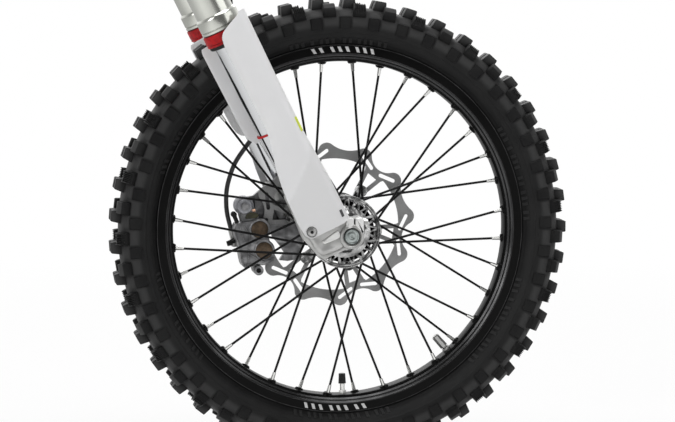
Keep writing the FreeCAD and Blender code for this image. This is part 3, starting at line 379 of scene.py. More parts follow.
def gridFaces(rows, columns, wrapRows=False, wrapColumns=False):
    # quads of a grid: each vertex joined to the next in its row and in the row above, wrapped where asked
    r = np.arange(rows if wrapRows else rows - 1)[:, None]
    c = np.arange(columns if wrapColumns else columns - 1)[None, :]
    up, on = (r + 1) % rows, (c + 1) % columns
    corners = [r * columns + c, r * columns + on, up * columns + on, up * columns + c]
    return np.stack(corners, -1).reshape(-1, 4)


def tubeFaces(rows, columns):
    # rings joined one to the next, with a flat face at both ends
    ends = [list(range(columns)), list(range((rows - 1) * columns, rows * columns))]
    return gridFaces(rows, columns, False, True).tolist() + ends


def makeMesh(name, parts, look, sharpAngle, closed):
    # one mesh from parts of vertices, faces and an optional tone; closed parts get normals turned outwards
    verts, faces, tones, start = [], [], [], 0
    for points, partFaces, *tone in parts:
        partFaces = partFaces.tolist() if isinstance(partFaces, np.ndarray) else partFaces
        faces += [[i + start for i in face] for face in partFaces]
        verts.append(points)
        tones.append(np.broadcast_to(tone[0] if tone else 0, len(points)))
        start += len(points)
    mesh = bpy.data.meshes.new(name)
    mesh.from_pydata(np.concatenate(verts).tolist(), [], faces)
    tone = mesh.attributes.new("tone", "FLOAT", "POINT")
    tone.data.foreach_set("value", np.concatenate(tones).astype(np.float32))
    if closed:
        work = bmesh.new()
        work.from_mesh(mesh)
        bmesh.ops.recalc_face_normals(work, faces=work.faces)
        work.to_mesh(mesh)
        work.free()
    mesh.polygons.foreach_set("use_smooth", np.ones(len(mesh.polygons), bool))
    mesh.set_sharp_from_angle(angle=math.radians(sharpAngle))
    mesh.materials.append(materials[look])
    mesh.update()
    return mesh


def addPiece(name, parts, slot, replaced=(), look=None, sharpAngle=32, closed=True, body="fork"):
    obj = bpy.data.objects.new(name, makeMesh(name, parts, look or slotLook(slot), sharpAngle, closed))
    bpy.context.scene.collection.objects.link(obj)
    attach(obj, body)
    if replaced:
        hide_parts(*replaced)
    return obj


def fullTurn(columns):
    return np.linspace(0, 2 * math.pi, columns, endpoint=False)


def rampUp(value, start, span):
    # 0 up to the start, 1 from one span further on
    return np.clip((value - start) / span, 0, 1)


def onWheel(turn, radius, side, along=0):
    # points at a radius, a side distance and a distance along the tread, all turned about the axle
    x = radius * np.cos(turn) - along * np.sin(turn)
    z = radius * np.sin(turn) + along * np.cos(turn)
    return np.stack(np.broadcast_arrays(x, side, z), -1)


def revolve(profile, columns):
    # a profile of (side, radius) carried round the axle; a closed loop both ways
    side, radius = floats(profile).T[:, :, None]
    return wheelToFrame(onWheel(fullTurn(columns), radius, side)), gridFaces(len(side), columns, True, True)


def turnedPart(profile, spot, way, columns=48, hollow=False, toFrame=forkToFrame):
    # a profile of (radius, distance) carried round the line from spot along way; solid ones get flat ends
    radius, far = floats(profile).T
    way = floats(way) / np.linalg.norm(way)
    aside = np.cross(way, (0, 1, 0) if abs(way[1]) < 0.9 else (1, 0, 0))
    aside /= np.linalg.norm(aside)
    turn = fullTurn(columns)[:, None]
    ring = np.cos(turn) * aside + np.sin(turn) * np.cross(way, aside)
    points = floats(spot) + far[:, None, None] * way + radius[:, None, None] * ring
    faces = gridFaces(len(radius), columns, True, True) if hollow else tubeFaces(len(radius), columns)
    return toFrame(points), faces


def crossPart(profile, spot, columns=48, hollow=False):
    # a turned shape whose line runs straight across the bike through a point (forward, up)
    return turnedPart(profile, (spot[0], 0, spot[1]), (0, 1, 0), columns, hollow)


def curveAbout(a, corner, b, t):
    # quadratic curve from a to b that leaves and arrives along the lines to the corner
    return (1 - t) ** 2 * a + 2 * t * (1 - t) * corner + t ** 2 * b


def roundLoop(points, radius, count=5):
    # each corner becomes a curve between points as far from it as the radius, or 0.45 of the shorter edge
    p = floats(points)
    back, ahead = np.roll(p, 1, 0) - p, np.roll(p, -1, 0) - p
    lengthBack, lengthAhead = np.linalg.norm(back, axis=1), np.linalg.norm(ahead, axis=1)
    reach = np.minimum(radius, 0.45 * np.minimum(lengthBack, lengthAhead))[:, None]
    a, b = p + back / lengthBack[:, None] * reach, p + ahead / lengthAhead[:, None] * reach
    t = np.linspace(0, 1, count)[None, :, None]
    return curveAbout(a[:, None], p[:, None], b[:, None], t).reshape(-1, 2)


def insetLoop(loop, amount):
    # each point moved inwards along the mean of its two edges' normals
    edge = np.roll(loop, -1, 0) - loop
    edge /= np.maximum(np.linalg.norm(edge, axis=1), 1e-9)[:, None]
    normal = np.stack([-edge[:, 1], edge[:, 0]], 1)
    area = np.sum(loop[:, 0] * np.roll(loop[:, 1], -1) - np.roll(loop[:, 0], -1) * loop[:, 1])
    mean = normal + np.roll(normal, 1, 0)
    mean /= np.maximum(np.linalg.norm(mean, axis=1), 0.3)[:, None]
    return loop + mean * amount * np.sign(area)


def slabPart(outline, y0, y1, bevel=2, corner=4, steps=3, faceInset=0.5):
    # an outline (forward, up) carried from y0 to y1; near both faces it draws in along a quarter circle
    loop = roundLoop(outline, corner)
    turn = np.linspace(0, math.pi / 2, steps + 1)
    draw = np.concatenate([[bevel + faceInset], bevel * (1 - np.sin(turn))])
    sink = np.concatenate([[0], bevel * (1 - np.cos(turn))]) * np.sign(y1 - y0)
    rings = [np.insert(insetLoop(loop, d), 1, y0 + s, 1) for d, s in zip(draw, sink)]
    rings += [np.insert(insetLoop(loop, d), 1, y1 - s, 1) for d, s in zip(draw[::-1], sink[::-1])]
    return forkToFrame(np.concatenate(rings)), tubeFaces(len(rings), len(loop))


def smoothLine(points, count):
    # smooth curve through all the points, count samples to each span
    p = floats(points)
    p = np.concatenate([2 * p[:1] - p[1:2], p, 2 * p[-1:] - p[-2:-1]])
    t = np.linspace(0, 1, count, endpoint=False)[None, :, None]
    a, b, c, d = p[:-3, None], p[1:-2, None], p[2:-1, None], p[3:, None]
    curve = 2 * b + (c - a) * t + (2 * a - 5 * b + 4 * c - d) * t ** 2 + (3 * b - a - 3 * c + d) * t ** 3
    return np.concatenate([0.5 * curve.reshape(-1, p.shape[1]), p[-2:-1]])


# lines across the tyre are (side, radius); blocks are (place, share of the height) along and across the tread
tyre = dict(
    pitches=45, columns=630, spanSamples=3,
    wall=((19.5, 270.6), (20.3, 275), (21.6, 279.2), (25.5, 284.2), (31, 289.5), (34.9, 295.2),
        (36.4, 296.6), (36.6, 298.6), (37.9, 304.5), (37.6, 311.5), (35.4, 319.5), (30.4, 326.8),
        (22.5, 331.4), (11, 333.6), (0, 334)),
    lining=((14, 269.4), (15.5, 285), (31, 305), (26, 320), (0, 327)),
    tallTurn=-0.1, tallBase=326, tallTip=347, tallSide=11,
    tallAlong=((-10.6, 0), (-8.9, 0.93), (-8.1, 1), (-3, 1), (-0.9, 1), (0.9, 1), (3, 1), (6.9, 1),
        (7.7, 0.94), (11.2, 0)),
    tallAcross=((-9.1, 0), (-8.1, 0.93), (-7.3, 1), (-2.5, 1), (2.5, 1), (7.3, 1), (8.1, 0.93), (9.1, 0)),
    sideTurn=-2.6, sideHalf=9, sideEdge=((-1.12, 0), (-1, 0.9), (-0.93, 1)),
    sideOuter=((20.3, 331), (21.2, 338.8), (22.4, 340.4), (27, 340.2), (29.8, 339.2), (35.3, 335),
        (36.5, 333.6), (38.9, 325.4), (38.2, 323.6), (33.8, 322)),
    sideRoot=((20.3, 327), (21.2, 328), (22.4, 328), (28, 326), (29, 325), (30.5, 323.6), (32.4, 321),
        (33, 320.2), (33.4, 319.6), (33.6, 319)),
    ribs=6, ribSpan=0.86, ribDepth=0.17,
    padTurn=1.3, padHalf=8, padEdge=((-1.16, 0), (-1.04, 0.7), (-0.94, 1)), padMiddle=(-0.4, 0.4),
    padOuter=((32.6, 323.6), (37.4, 320.4), (39.3, 313), (39.5, 306), (38.8, 302.4), (35.6, 300)),
    padRoot=((31, 321.4), (34.2, 318.6), (36.2, 312.4), (36.4, 306), (36, 302.8), (35.2, 301.2)),
    markLow=(22.6, 280.9), markHigh=(30, 288.8), markProud=(0.65, -0.6), markSunk=0.6,
    markHalf=2.6, markEdge=0.8, markLean=1.3, markArcs=(18, 92, 148, 208, 271, 330),
    markBars=(-15.4, -13.6, -11, -9.2, -7.4, -4.6, -2.8, 0.6, 2.4, 4.2, 7, 9.9, 11.7, 13.5),
    groundTurn=1, groundHalf=1.75, groundSoft=0.6,
    # painted light and shade by radius, as start radius, fade and tone: ground under the tall blocks, band
    # below the side knobs and crown lighter where they catch the light, wall lighter above the shaded bead
    # zone
    shades=((320.5, 1.5, 0.42), (302, 8, 0.4), (326, 3, 0.5), (284, 2, 0.1)),
    # painted light on the side knobs: knobTone makes their top faces lighter and their outer flanks dark
    knobTone=(0.3, 0.4, 0.5, 0.5, 0.45, 0.45, 0.05, 0, 0, 0), padTone=0.05, markTone=0.2,
    # painted highlight along the tall blocks' top edges: its tone, the share of height it centres on, and its
    # span
    wornTone=0.5, wornShare=0.93, wornSpan=0.1,
)


def blockPoints(turns, along, across):
    # a block at each turn: along the tread by the first list, across by the second, high by the lesser share
    a, shareA = floats(along).T
    b, shareB = floats(across).T
    share = np.minimum(shareA[:, None], shareB)
    rise = tyre["tallBase"] + (tyre["tallTip"] - tyre["tallBase"]) * share
    return onWheel(np.radians(turns)[:, None, None], rise, b, a[:, None]), share


def shellPoints(turns, along, share, root, outer, side):
    # a raised patch at each turn: each point lies between the root line and the outer line by its share
    root, outer = floats(root), floats(outer)
    line = root + (outer - root) * share[..., None]
    return onWheel(np.radians(turns)[:, None, None], line[..., 1], side * line[..., 0], along)


def edgeHighlightTone(share, count):
    # painted highlight where a block's faces meet: lighter just below the full height
    highlight = np.clip(1 - np.abs(share - tyre["wornShare"]) / tyre["wornSpan"], 0, 1) * tyre["wornTone"]
    return np.tile(highlight.reshape(-1), count)


def patchPart(points, tone=0):
    # each patch is a grid closed underneath by one face
    count, rows, columns = points.shape[:3]
    size = rows * columns
    grid = np.arange(size).reshape(rows, columns)
    edge = np.concatenate([grid[0], grid[1:, -1], grid[-1, -2::-1], grid[-2:0:-1, 0]])
    quads = gridFaces(rows, columns).tolist() + [edge.tolist()]
    return wheelToFrame(points), [[i + k * size for i in face] for k in range(count) for face in quads], tone


def carcassPart():
    # one closed section carried round the axle, with painted light and shade as tones by radius and by the
    # place between the blocks
    half, lining = smoothLine(tyre["wall"], tyre["spanSamples"]), smoothLine(tyre["lining"], 2)
    loop = np.concatenate([half, half[-2::-1] * (-1, 1), lining[:-1] * (-1, 1), lining[::-1]])
    turn, radius = fullTurn(tyre["columns"]), loop[:, 1:]
    pitch = 360 / tyre["pitches"]
    lean = (np.degrees(turn) - tyre["groundTurn"] + pitch / 2) % pitch - pitch / 2
    under = np.clip((tyre["groundHalf"] - np.abs(lean)) / tyre["groundSoft"] + 0.5, 0, 1)
    ground, band, crown, wall = (rampUp(radius, start, fade) * tone for start, fade, tone in tyre["shades"])
    tone = np.maximum(np.maximum(under * ground, (1 - under) * band), np.maximum(crown, wall))
    points = onWheel(turn, radius, loop[:, :1])
    return wheelToFrame(points), gridFaces(len(loop), tyre["columns"], True, True), tone.reshape(-1)


def markPart(side):
    # slanted bars in arcs on the lower wall, raised between their edges along and across
    low, high, proud = (floats(tyre[key]) for key in ("markLow", "markHigh", "markProud"))
    root = np.stack([low, low, (low + high) / 2, high, high])
    raised = np.array([0, 1, 1, 1, 0])
    turns = np.add.outer(tyre["markArcs"], tyre["markBars"]).reshape(-1)
    places = np.array([-1, -tyre["markEdge"], 0, tyre["markEdge"], 1])[:, None]
    along = places * tyre["markHalf"] + np.linspace(-1, 1, 5) * tyre["markLean"]
    root, outer = root - proud * tyre["markSunk"], root + proud
    return patchPart(shellPoints(turns, along, raised[:, None] * raised, root, outer, side), tyre["markTone"])


def patchSpan(edge, middle, half, columns):
    # places along a patch (its edge's list, the middle, the edge mirrored) and the grid of their shares,
    # which are nothing in the first and the last column
    place, share = floats(edge).T
    along = np.concatenate([place, middle, -place[::-1]]) * half
    across = np.ones(columns)
    across[[0, -1]] = 0
    return along[:, None], np.concatenate([share, np.ones(len(middle)), share[::-1]])[:, None] * across


def tyreParts():
    # carcass, then for every pitch two tall blocks, two side knobs and two pads; every other knob is ribbed
    t = tyre
    turns = np.arange(t["pitches"]) * 360 / t["pitches"]
    ribs = np.linspace(-t["ribSpan"], t["ribSpan"], 2 * t["ribs"] + 1)
    along, plain = patchSpan(t["sideEdge"], ribs, t["sideHalf"], len(t["sideOuter"]))
    ribbed = plain.copy()
    first = len(t["sideEdge"])
    ribbed[first + 1:first + len(ribs):2, 1:7] -= t["ribDepth"]
    padAlong, pads = patchSpan(t["padEdge"], t["padMiddle"], t["padHalf"], len(t["padOuter"]))
    parts = [carcassPart()]
    for side in (-1, 1):
        across = np.add(t["tallAcross"], (side * t["tallSide"], 0))
        points, height = blockPoints(turns + t["tallTurn"], t["tallAlong"], across)
        parts.append(patchPart(points, edgeHighlightTone(height, len(turns))))
        points = shellPoints(turns + t["padTurn"], padAlong, pads, t["padRoot"], t["padOuter"], side)
        parts += [patchPart(points, t["padTone"]), markPart(side)]
        for share, start in ((plain, 0), (ribbed, 1)):
            spots = turns[start::2] + t["sideTurn"]
            tones = np.broadcast_to(t["knobTone"], (len(spots),) + share.shape).reshape(-1)
            points = shellPoints(spots, along, share, t["sideRoot"], t["sideOuter"], side)
            parts.append(patchPart(points, tones))
    return parts


addPiece("knobblyTyre", tyreParts(), "tyre", ["tyre"], sharpAngle=28, body="wheel")
print("tyre made")

# sections are (side, radius), and a boss is (radius, distance from the rim's bed along its spoke)
rim = dict(
    columns=540, bed=253.5,
    half=((0, 252.3), (9, 252.4), (13, 253.4), (15.2, 255.2), (15.9, 256.6), (16.4, 257), (17.2, 257),
        (22.4, 263.4), (23, 264), (23.5, 264.2), (23.7, 264.8), (23.55, 265.6), (23.45, 267), (23.45, 276),
        (23.2, 277.5), (22.5, 278.2), (21.5, 278.2), (20.7, 277.4), (20.5, 276),
        (20.5, 270.6), (19.5, 270), (13, 269.2), (11, 262), (0, 259.4)),
    groups=9, firstTurn=45, nippleShift=-4.5, nippleSide=4, lay=3.4, layAtRim=0.3,
    # flange, turn at the rim, lean to the hub, side and radius at the hub
    lacing=((-1, 0.75, -30.6, -50, 50.8), (-1, -19.25, 36.9, -50, 50.8), (1, -9.4, -31.9, 30, 48),
        (1, -29, 40.4, 30, 48)),
    boss=((8.2, 2.5), (7.9, 0.6), (7.2, -0.9), (6.3, -2.9), (5.4, -3.6), (4, -3.9)),
    # lines are narrow lighter bands at the lip and the ridge: painted highlight
    lines=(((-22.6, 276.9), (-23.55, 277), (-23.6, 277.5), (-23.3, 278.1), (-22.4, 278.2)),
        ((-23, 264.2), (-23.75, 264.4), (-23.85, 264.8), (-23.75, 265.2), (-23, 265.4))),
    # bevels are narrow lighter metal bands on the bevel faces: painted reflection besides the real one
    bevels=(((16.2, 256.85), (17.25, 256.85), (19.3, 259.35), (19, 259.55), (17, 257.2), (16.2, 257.1)),
        ((20.9, 261.3), (21.1, 261.1), (22.55, 263.2), (23.2, 263.9), (22.9, 264.3), (22.3, 263.6))),
    dashTurns=(80, 82.4, 84.8, 88, 90.4, 92.8, 96.4, 98.8,
        -101.4, -99, -96.6, -93.2, -90.8, -88.4, -85, -82.6),
    dashHalf=0.5, dashLow=267.4, dashHigh=275.2, dashLean=0.75, dashInner=23.3, dashOuter=23.6,
)


def spokeLines():
    # for every spoke its point on the rim's bed and the way there from the hub, laced as the CAD's are
    side, offset, turn, seat, reach = floats(rim["lacing"]).T[:, :, None]
    angle = rim["firstTurn"] + offset + np.arange(rim["groups"]) * 360 / rim["groups"]
    lay = np.where(turn < 0, rim["lay"], -rim["lay"])
    hubEnd = onWheel(np.radians(angle + turn), reach, seat + lay)
    bedSide = rim["nippleShift"] + side * rim["nippleSide"] + lay * rim["layAtRim"]
    bed = onWheel(np.radians(angle), rim["bed"], bedSide)
    way = bed - hubEnd
    way /= np.linalg.norm(way, axis=-1)[..., None]
    return bed.reshape(-1, 3), way.reshape(-1, 3)


def dashPart():
    # slanted plates on the rim's wall: four corners at each turn, on an inner and an outer layer
    shift = np.array([-1, 1, 1, -1]) * rim["dashHalf"] + np.array([-1, -1, 1, 1]) * rim["dashLean"] * 0.5
    radius = np.repeat([rim["dashLow"], rim["dashHigh"]], 2)
    angle = np.radians(floats(rim["dashTurns"])[:, None] + shift)
    points = np.concatenate([onWheel(angle, radius, -rim[key]) for key in ("dashInner", "dashOuter")], 1)
    box = np.array([[0, 1, 2, 3], [7, 6, 5, 4], [0, 4, 5, 1], [1, 5, 6, 2], [2, 6, 7, 3], [3, 7, 4, 0]])
    return wheelToFrame(points), (box + (np.arange(len(points)) * 8)[:, None, None]).reshape(-1, 4)


def rimParts():
    # the closed section of the rim carried round, and a boss at the foot of every spoke
    half = floats(rim["half"])
    bosses = [turnedPart(rim["boss"], spot, way, 20, False, wheelToFrame) for spot, way in zip(*spokeLines())]
    return [revolve(np.concatenate([half, half[-2:0:-1] * (-1, 1)]), rim["columns"])] + bosses


def bandParts(bands):
    # each narrow band of the rim, a painted highlight or painted reflection, on both of its sides
    return [revolve(floats(band) * (side, 1), rim["columns"]) for band in bands for side in (1, -1)]


addPiece("rimHoop", rimParts(), "rim_black", ["rim"], sharpAngle=22, body="wheel")
addPiece("rimLines", bandParts(rim["lines"]), "rim_black", look="rimLine", body="wheel")
addPiece("rimBevels", bandParts(rim["bevels"]), "rim_black", look="rimEdge", body="wheel")
addPiece("rimDashes", [dashPart()], "guard_white", look="decalWhite", body="wheel")
print("rim made")

# edges are (up, forward), the top is (forward, up); five sections go round the leg: outer wall, corner,
# front, corner, inner wall
guard = dict(
    wall=0.0024, edge=0.0006, outerFace=146.5, innerFace=72, corner=13,
    rows=60, rowCrowd=1.5, columns=(18, 8, 12), wallCrowd=1.4, arcColumns=7,
    front=((27, 8.4), (98, 8.6), (178, 4.6), (260, 4.9), (376, 6.6)),
    rearOuter=((27, -50), (28.2, -55.5), (30.5, -59), (37, -63), (54, -64.8), (90, -63.7), (117, -61.5),
        (146, -57), (186, -46.5), (205, -44.5), (290, -44.5), (334, -44.7), (380, -44.7)),
    rearInner=((180, -58), (184, -64), (192, -69), (204, -71), (336, -73), (342, -70.5), (346, -64)),
    lowEdge=((28, -1), (27.2, 2), (64, 6), (75, 95), (182, -1)),  # start and rise of each section
    topOuter=((-44.7, 334), (-43.6, 345), (-42, 350.5), (-38, 356), (-32, 359.6), (-2, 372), (8, 375.4)),
    topRear=-44.7, topReach=40, topLow=343, topRise=32.4, cornerTop=374.6, cornerLift=2,
    backDrop=6, backDropFrom=0.75,
    roll=3.6, rollReach=15, rollStart=150, rollSpan=80,
    creaseLine=((90, -65), (132, -11.4), (152.5, 0.4)), creaseEnds=(-90, 30),
    creaseDrop=1.1, creaseSoft=3.5, creaseEnd=12, creaseTop=260, creaseFade=100,
    boltForward=-51.9, boltUp=37.5, boltSunk=0.4,
    slot=((-2.3, 36.5), (1.7, 36.5), (2.3, 47.5), (-1.7, 47.5)), slotIn=146, slotOut=146.6,
)


def guardPoints(side):
    # the U of a guard as a grid: columns run from its low end to its high end, rows go round the leg
    g = guard
    outer, inner, corner = g["outerFace"], g["innerFace"], g["corner"]
    wall, front, back = (np.linspace(0, 1, count) for count in g["columns"])
    arc = np.radians(np.linspace(0, 90, g["arcColumns"])[1:-1])
    sections = (wall ** g["wallCrowd"], arc, front, arc, back)
    kinds = np.repeat(np.arange(5), [len(section) for section in sections])
    spot = np.concatenate(sections)
    flatSide = np.choose(kinds, [
        outer, outer - corner + corner * np.cos(spot), outer - corner + (inner - outer + 2 * corner) * spot,
        inner + corner - corner * np.sin(spot), inner])
    start, rise = floats(g["lowEdge"])[kinds].T
    low = start + rise * np.choose(kinds, [spot, np.sin(spot), spot, np.sin(spot) ** 2, spot])
    slope = g["topLow"] + (flatSide - inner) / (outer - inner) * g["topRise"]
    wallTop = np.interp(g["topRear"] + g["topReach"] * spot, *floats(g["topOuter"]).T)
    backTop = g["topLow"] - g["backDrop"] * np.maximum(spot - g["backDropFrom"], 0)
    cornerTop = np.minimum(g["cornerTop"], slope + g["cornerLift"])
    high = np.choose(kinds, [wallTop, cornerTop, slope, slope, backTop])
    up = low + (high - low) * (np.linspace(0, 1, g["rows"]) ** g["rowCrowd"])[:, None]
    frontF, rear, rearIn = (
        np.interp(up, *floats(g[key]).T) for key in ("front", "rearOuter", "rearInner"))
    bend = frontF - corner
    forward = np.choose(kinds, [
        rear + (bend - rear) * spot, bend + corner * np.sin(spot), frontF, bend + corner * np.cos(spot),
        bend + (rearIn - frontF + corner) * spot])
    below, above = g["creaseEnds"]
    crease = np.interp(up, *floats(g["creaseLine"]).T, left=below, right=above)
    lower = rampUp(forward, crease, g["creaseSoft"])
    hold = rampUp(bend, forward, g["creaseEnd"]) * rampUp(g["creaseTop"], up, g["creaseFade"])
    rolled = g["roll"] * np.clip(1 - (forward - rear) / g["rollReach"], 0, 1) ** 2
    rolled = rolled * rampUp(up, g["rollStart"], g["rollSpan"])
    sideways = flatSide - np.where(kinds == 0, rolled + g["creaseDrop"] * (1 - lower) * hold, 0)
    return np.stack([forward, side * sideways, up], -1), lower * (kinds < 2)


def addGuard(name, side):
    points, tone = guardPoints(side)
    faces = gridFaces(*points.shape[:2])
    if side > 0:
        faces = faces[:, ::-1]
    parts = [(forkToFrame(points), faces, tone.reshape(-1))]
    obj = addPiece("guard" + name, parts, "guard_white", ["guard_" + name.lower()], None, 40, False)
    wall = obj.modifiers.new("wall", "SOLIDIFY")
    wall.thickness, wall.offset, wall.use_even_offset = guard["wall"], -1, True
    edge = obj.modifiers.new("edge", "BEVEL")
    edge.width, edge.segments = guard["edge"], 2
    edge.limit_method, edge.angle_limit = "ANGLE", math.radians(50)


bolt = dict(
    cup=((8.3, 0.05), (8.3, 0.9), (7.9, 1.1), (7.3, 0.8), (6.9, 0.45), (6.2, 0.3), (6, 1.6), (5.6, 2.5),
        (4.8, 2.9), (2.5, 2.9), (2.3, 0.9), (0.5, 0.9)),
    socket=((0.4, 0.6), (1.8, 0.6), (1.8, 1.2), (0.4, 1.2)),
)


def boltPart(profile, side, columns):
    # a turned shape on the guard's outer face, at the bolt
    spot = (guard["boltForward"], side * (guard["outerFace"] - guard["boltSunk"]), guard["boltUp"])
    return turnedPart(profile, spot, (0, side, 0), columns)


for name, side in bothSides:
    addGuard(name, side)
for name, side in bothSides:
    addPiece("guardBolt" + name, [boltPart(bolt["cup"], side, 40)], "bolt_steel", ["guard_bolts"])
# black discs at the bottom of the bolts' socket recesses: painted shade
addPiece("boltSockets", [boltPart(bolt["socket"], side, 24) for side in (-1, 1)], "black_plastic")
# a dark plate on the guard's face: painted shade standing for the inside of its slot
slotSlab = slabPart(guard["slot"], -guard["slotIn"], -guard["slotOut"], 0.1, 1)
addPiece("guardSlot", [slotSlab], "black_plastic", look="slotGrey")
marker = dict(low=176, high=199, start=42, end=86, proud=0.15, sunk=-0.3)


def markerPart():
    # a strip on the guard's front corner: an arc of the corner, a little proud, between two heights
    arc = np.radians(np.linspace(marker["start"], marker["end"], 7))
    up = np.linspace(marker["low"], marker["high"], 6)[:, None]
    frontF = np.interp(up, *floats(guard["front"]).T)
    layers = []
    for grow in (marker["sunk"], marker["proud"]):
        r = guard["corner"] + grow
        forward = frontF - guard["corner"] + r * np.sin(arc)
        sideways = guard["outerFace"] - guard["corner"] + r * np.cos(arc)
        layers.append(np.stack(np.broadcast_arrays(forward, -sideways, up), -1))
    loop = np.concatenate([layers[0], layers[1][:, ::-1]], 1)
    return forkToFrame(loop), tubeFaces(*loop.shape[:2])


addPiece("guardMarker", [markerPart()], "guard_white", look="markerYellow")
print("guards made")

# profiles are (radius, up the leg)
leg = dict(
    forward=-32, side=108, columns=72,
    tube=((24.6, 359.3), (30.4, 359.3), (31.5, 360.2), (31.5, 363.4), (30.7, 364), (30.7, 364.8),
        (31.5, 365.4), (31.5, 379.6), (31.1, 381), (29.3, 383.6), (28.5, 384.4), (28.5, 386), (28.5, 500),
        (28.5, 608), (29.5, 609.2), (29.5, 669), (28.5, 670), (28.5, 904.8), (24.6, 904.8)),
    wiper=((24.6, 340.7), (31, 340.7), (32.1, 341.6), (32.4, 343.6), (31.6, 344.1), (31.6, 344.9),
        (32.4, 345.4), (32.4, 356.4), (31.9, 358), (30.4, 358.9), (24.6, 358.9)),
    lip=((24.3, 335.2), (27, 335.2), (28.8, 335.8), (30, 336.8), (30.3, 337.8), (30.3, 340.4),
        (24.3, 340.4)),
)
legPieces = (("outerTube", "tube", "tube_silver", "outer_tube_"), ("wiper", "wiper", "wiper_red", "wiper_"),
             ("wiperLip", "lip", "black_rubber", "lip_"))
for name, side in bothSides:
    spot = (leg["forward"], side * leg["side"], 0)
    for piece, key, slot, node in legPieces:
        part = turnedPart(leg[key], spot, (0, 0, 1), leg["columns"], True)
        addPiece(piece + name, [part], slot, [node + name.lower()])

sleeve = dict(
    before=(-6, 81.5, 343), corner=(15, 86.5, 375), after=(17, 95, 470), start=0.42, end=0.54,
    reach=17.4, outer=6, inner=3.6, columns=28, bendRings=12,
)


def sleevePart():
    # the hose's line: straight, a curve about its corner, straight; rings of the sleeve stand across it
    s = sleeve
    before, corner, after = (floats(s[key]) for key in ("before", "corner", "after"))
    back, ahead = before - corner, after - corner
    a = corner + back / np.linalg.norm(back) * s["reach"]
    b = corner + ahead / np.linalg.norm(ahead) * s["reach"]
    bend = curveAbout(a, corner, b, np.linspace(0, 1, s["bendRings"])[:, None])
    line = np.concatenate([[before - back * s["start"]], bend, [corner + ahead * s["end"]]])
    way = np.gradient(line, axis=0)
    way /= np.linalg.norm(way, axis=1)[:, None]
    aside = np.cross(way, (0, 1, 0))
    aside /= np.linalg.norm(aside, axis=1)[:, None]
    turn = fullTurn(s["columns"])[:, None]
    ring = np.cos(turn) * aside[:, None] + np.sin(turn) * np.cross(way, aside)[:, None]
    outer, inner = (line[:, None] + ring * s[key] for key in ("outer", "inner"))
    loop = np.concatenate([outer, inner[::-1]])
    return forkToFrame(loop), gridFaces(len(loop), s["columns"], True, True)


addPiece("hoseSleeve", [sleevePart()], "black_rubber", ["hose_sleeve"])
print("legs made")

# outlines are (forward, up) from the axle; profiles are (radius, distance) from the leg's middle
foot = dict(
    base=-32, lug=18, columns=64, seatSpot=(-51.9, 37.5),
    outline=((-62, 68), (-66, 31), (-62, 17), (-55, -8), (-51, -12.5), (-14, -14.5), (0, -18.5),
        (13.9, -11.4), (28.2, 17.3), (4.4, 29.1), (-5, 52), (-2, 68)),
    swell=((-58, 44), (-57.5, 6), (-51, -7), (-15, -9.5), (-11, 8), (-12, 44)),
    shoulder=((-30, -8), (-14, -4.5), (-14.2, 5), (-8, 13), (8, 16), (8, 27), (-30, 40)),
    bar=((-44, 15), (-42, 8.8), (-26, 7), (-14, 6.4), (-13, 19.5), (-26, 17.5)),
    # outline, side distances of both faces, bevel, corner radius, steps of the bevel
    slabs=(("outline", -11, 11, 3.5, 7, 4), ("swell", -17, 16, 6.5, 9, 6), ("shoulder", 0, 15.4, 1.5, 3, 3),
        ("bar", 0, 17.4, 2.2, 6, 6)),
    # painted highlight on the rib's top, from ribFace outwards over ribBlend
    ribFace=17.4, ribBlend=2.2, ribTone=0.7,
    earBack=((-3.15, 13.9), (4.4, 29.1), (15.2, 23.7), (8.7, 10.7)),
    earFront=((10.1, 10), (16.6, 23), (28.2, 17.3), (17, -6.2)),
    lugRing=((12.7, -18), (17.4, -18), (18.5, -16.8), (18.5, 15), (18.1, 16.8), (16.9, 17.9), (15, 18),
        (14, 17.3), (13.8, 15.5), (12.7, 15.5)),
    socket=((0.5, 40), (23, 40), (28.5, 44), (31, 52), (31, 94.8), (30.2, 96.6), (27, 97.9), (24.2, 97.5),
        (24.2, 58.3), (0.5, 58.3)),
    seat=((9, 0), (9, 35.2), (8.4, 35.9)),
    axleFace=-125.2,
    axleEnd=((0.4, -0.3), (1.5, -0.2), (2.4, 0.7), (3.4, 1.1), (5.2, 1.2), (7.2, 1), (8.4, 0.2), (9.2, 0.3),
        (10, 0.9), (10.7, -0.2), (10.7, -1.2)),
)


def highlightedRib(part):
    # painted highlight: the rib is lighter where it stands highest, by the share of its last few millimetres
    # of side distance
    points, faces = part
    reach = np.abs(points[:, 1]) * 1000 - leg["side"]
    share = np.clip((reach - foot["ribFace"]) / foot["ribBlend"] + 1, 0, 1)
    return points, faces, share * foot["ribTone"]


def footParts(side):
    # slabs, the last one with a painted highlight, then the axle's lug, the leg's socket and the guard bolt's
    # seat
    middle = side * leg["side"]
    slabs = [slabPart(foot[key], middle + side * y0, middle + side * y1, *edge)
             for key, y0, y1, *edge in foot["slabs"]]
    lug = turnedPart(foot["lugRing"], (0, middle, 0), (0, side, 0), foot["columns"], True)
    socket = turnedPart(foot["socket"], (foot["base"], middle, 0), (0, 0, 1), foot["columns"], True)
    seat = turnedPart(foot["seat"], (foot["seatSpot"][0], middle, foot["seatSpot"][1]), (0, side, 0), 32)
    return slabs[:-1] + [highlightedRib(slabs[-1]), lug, socket, seat]


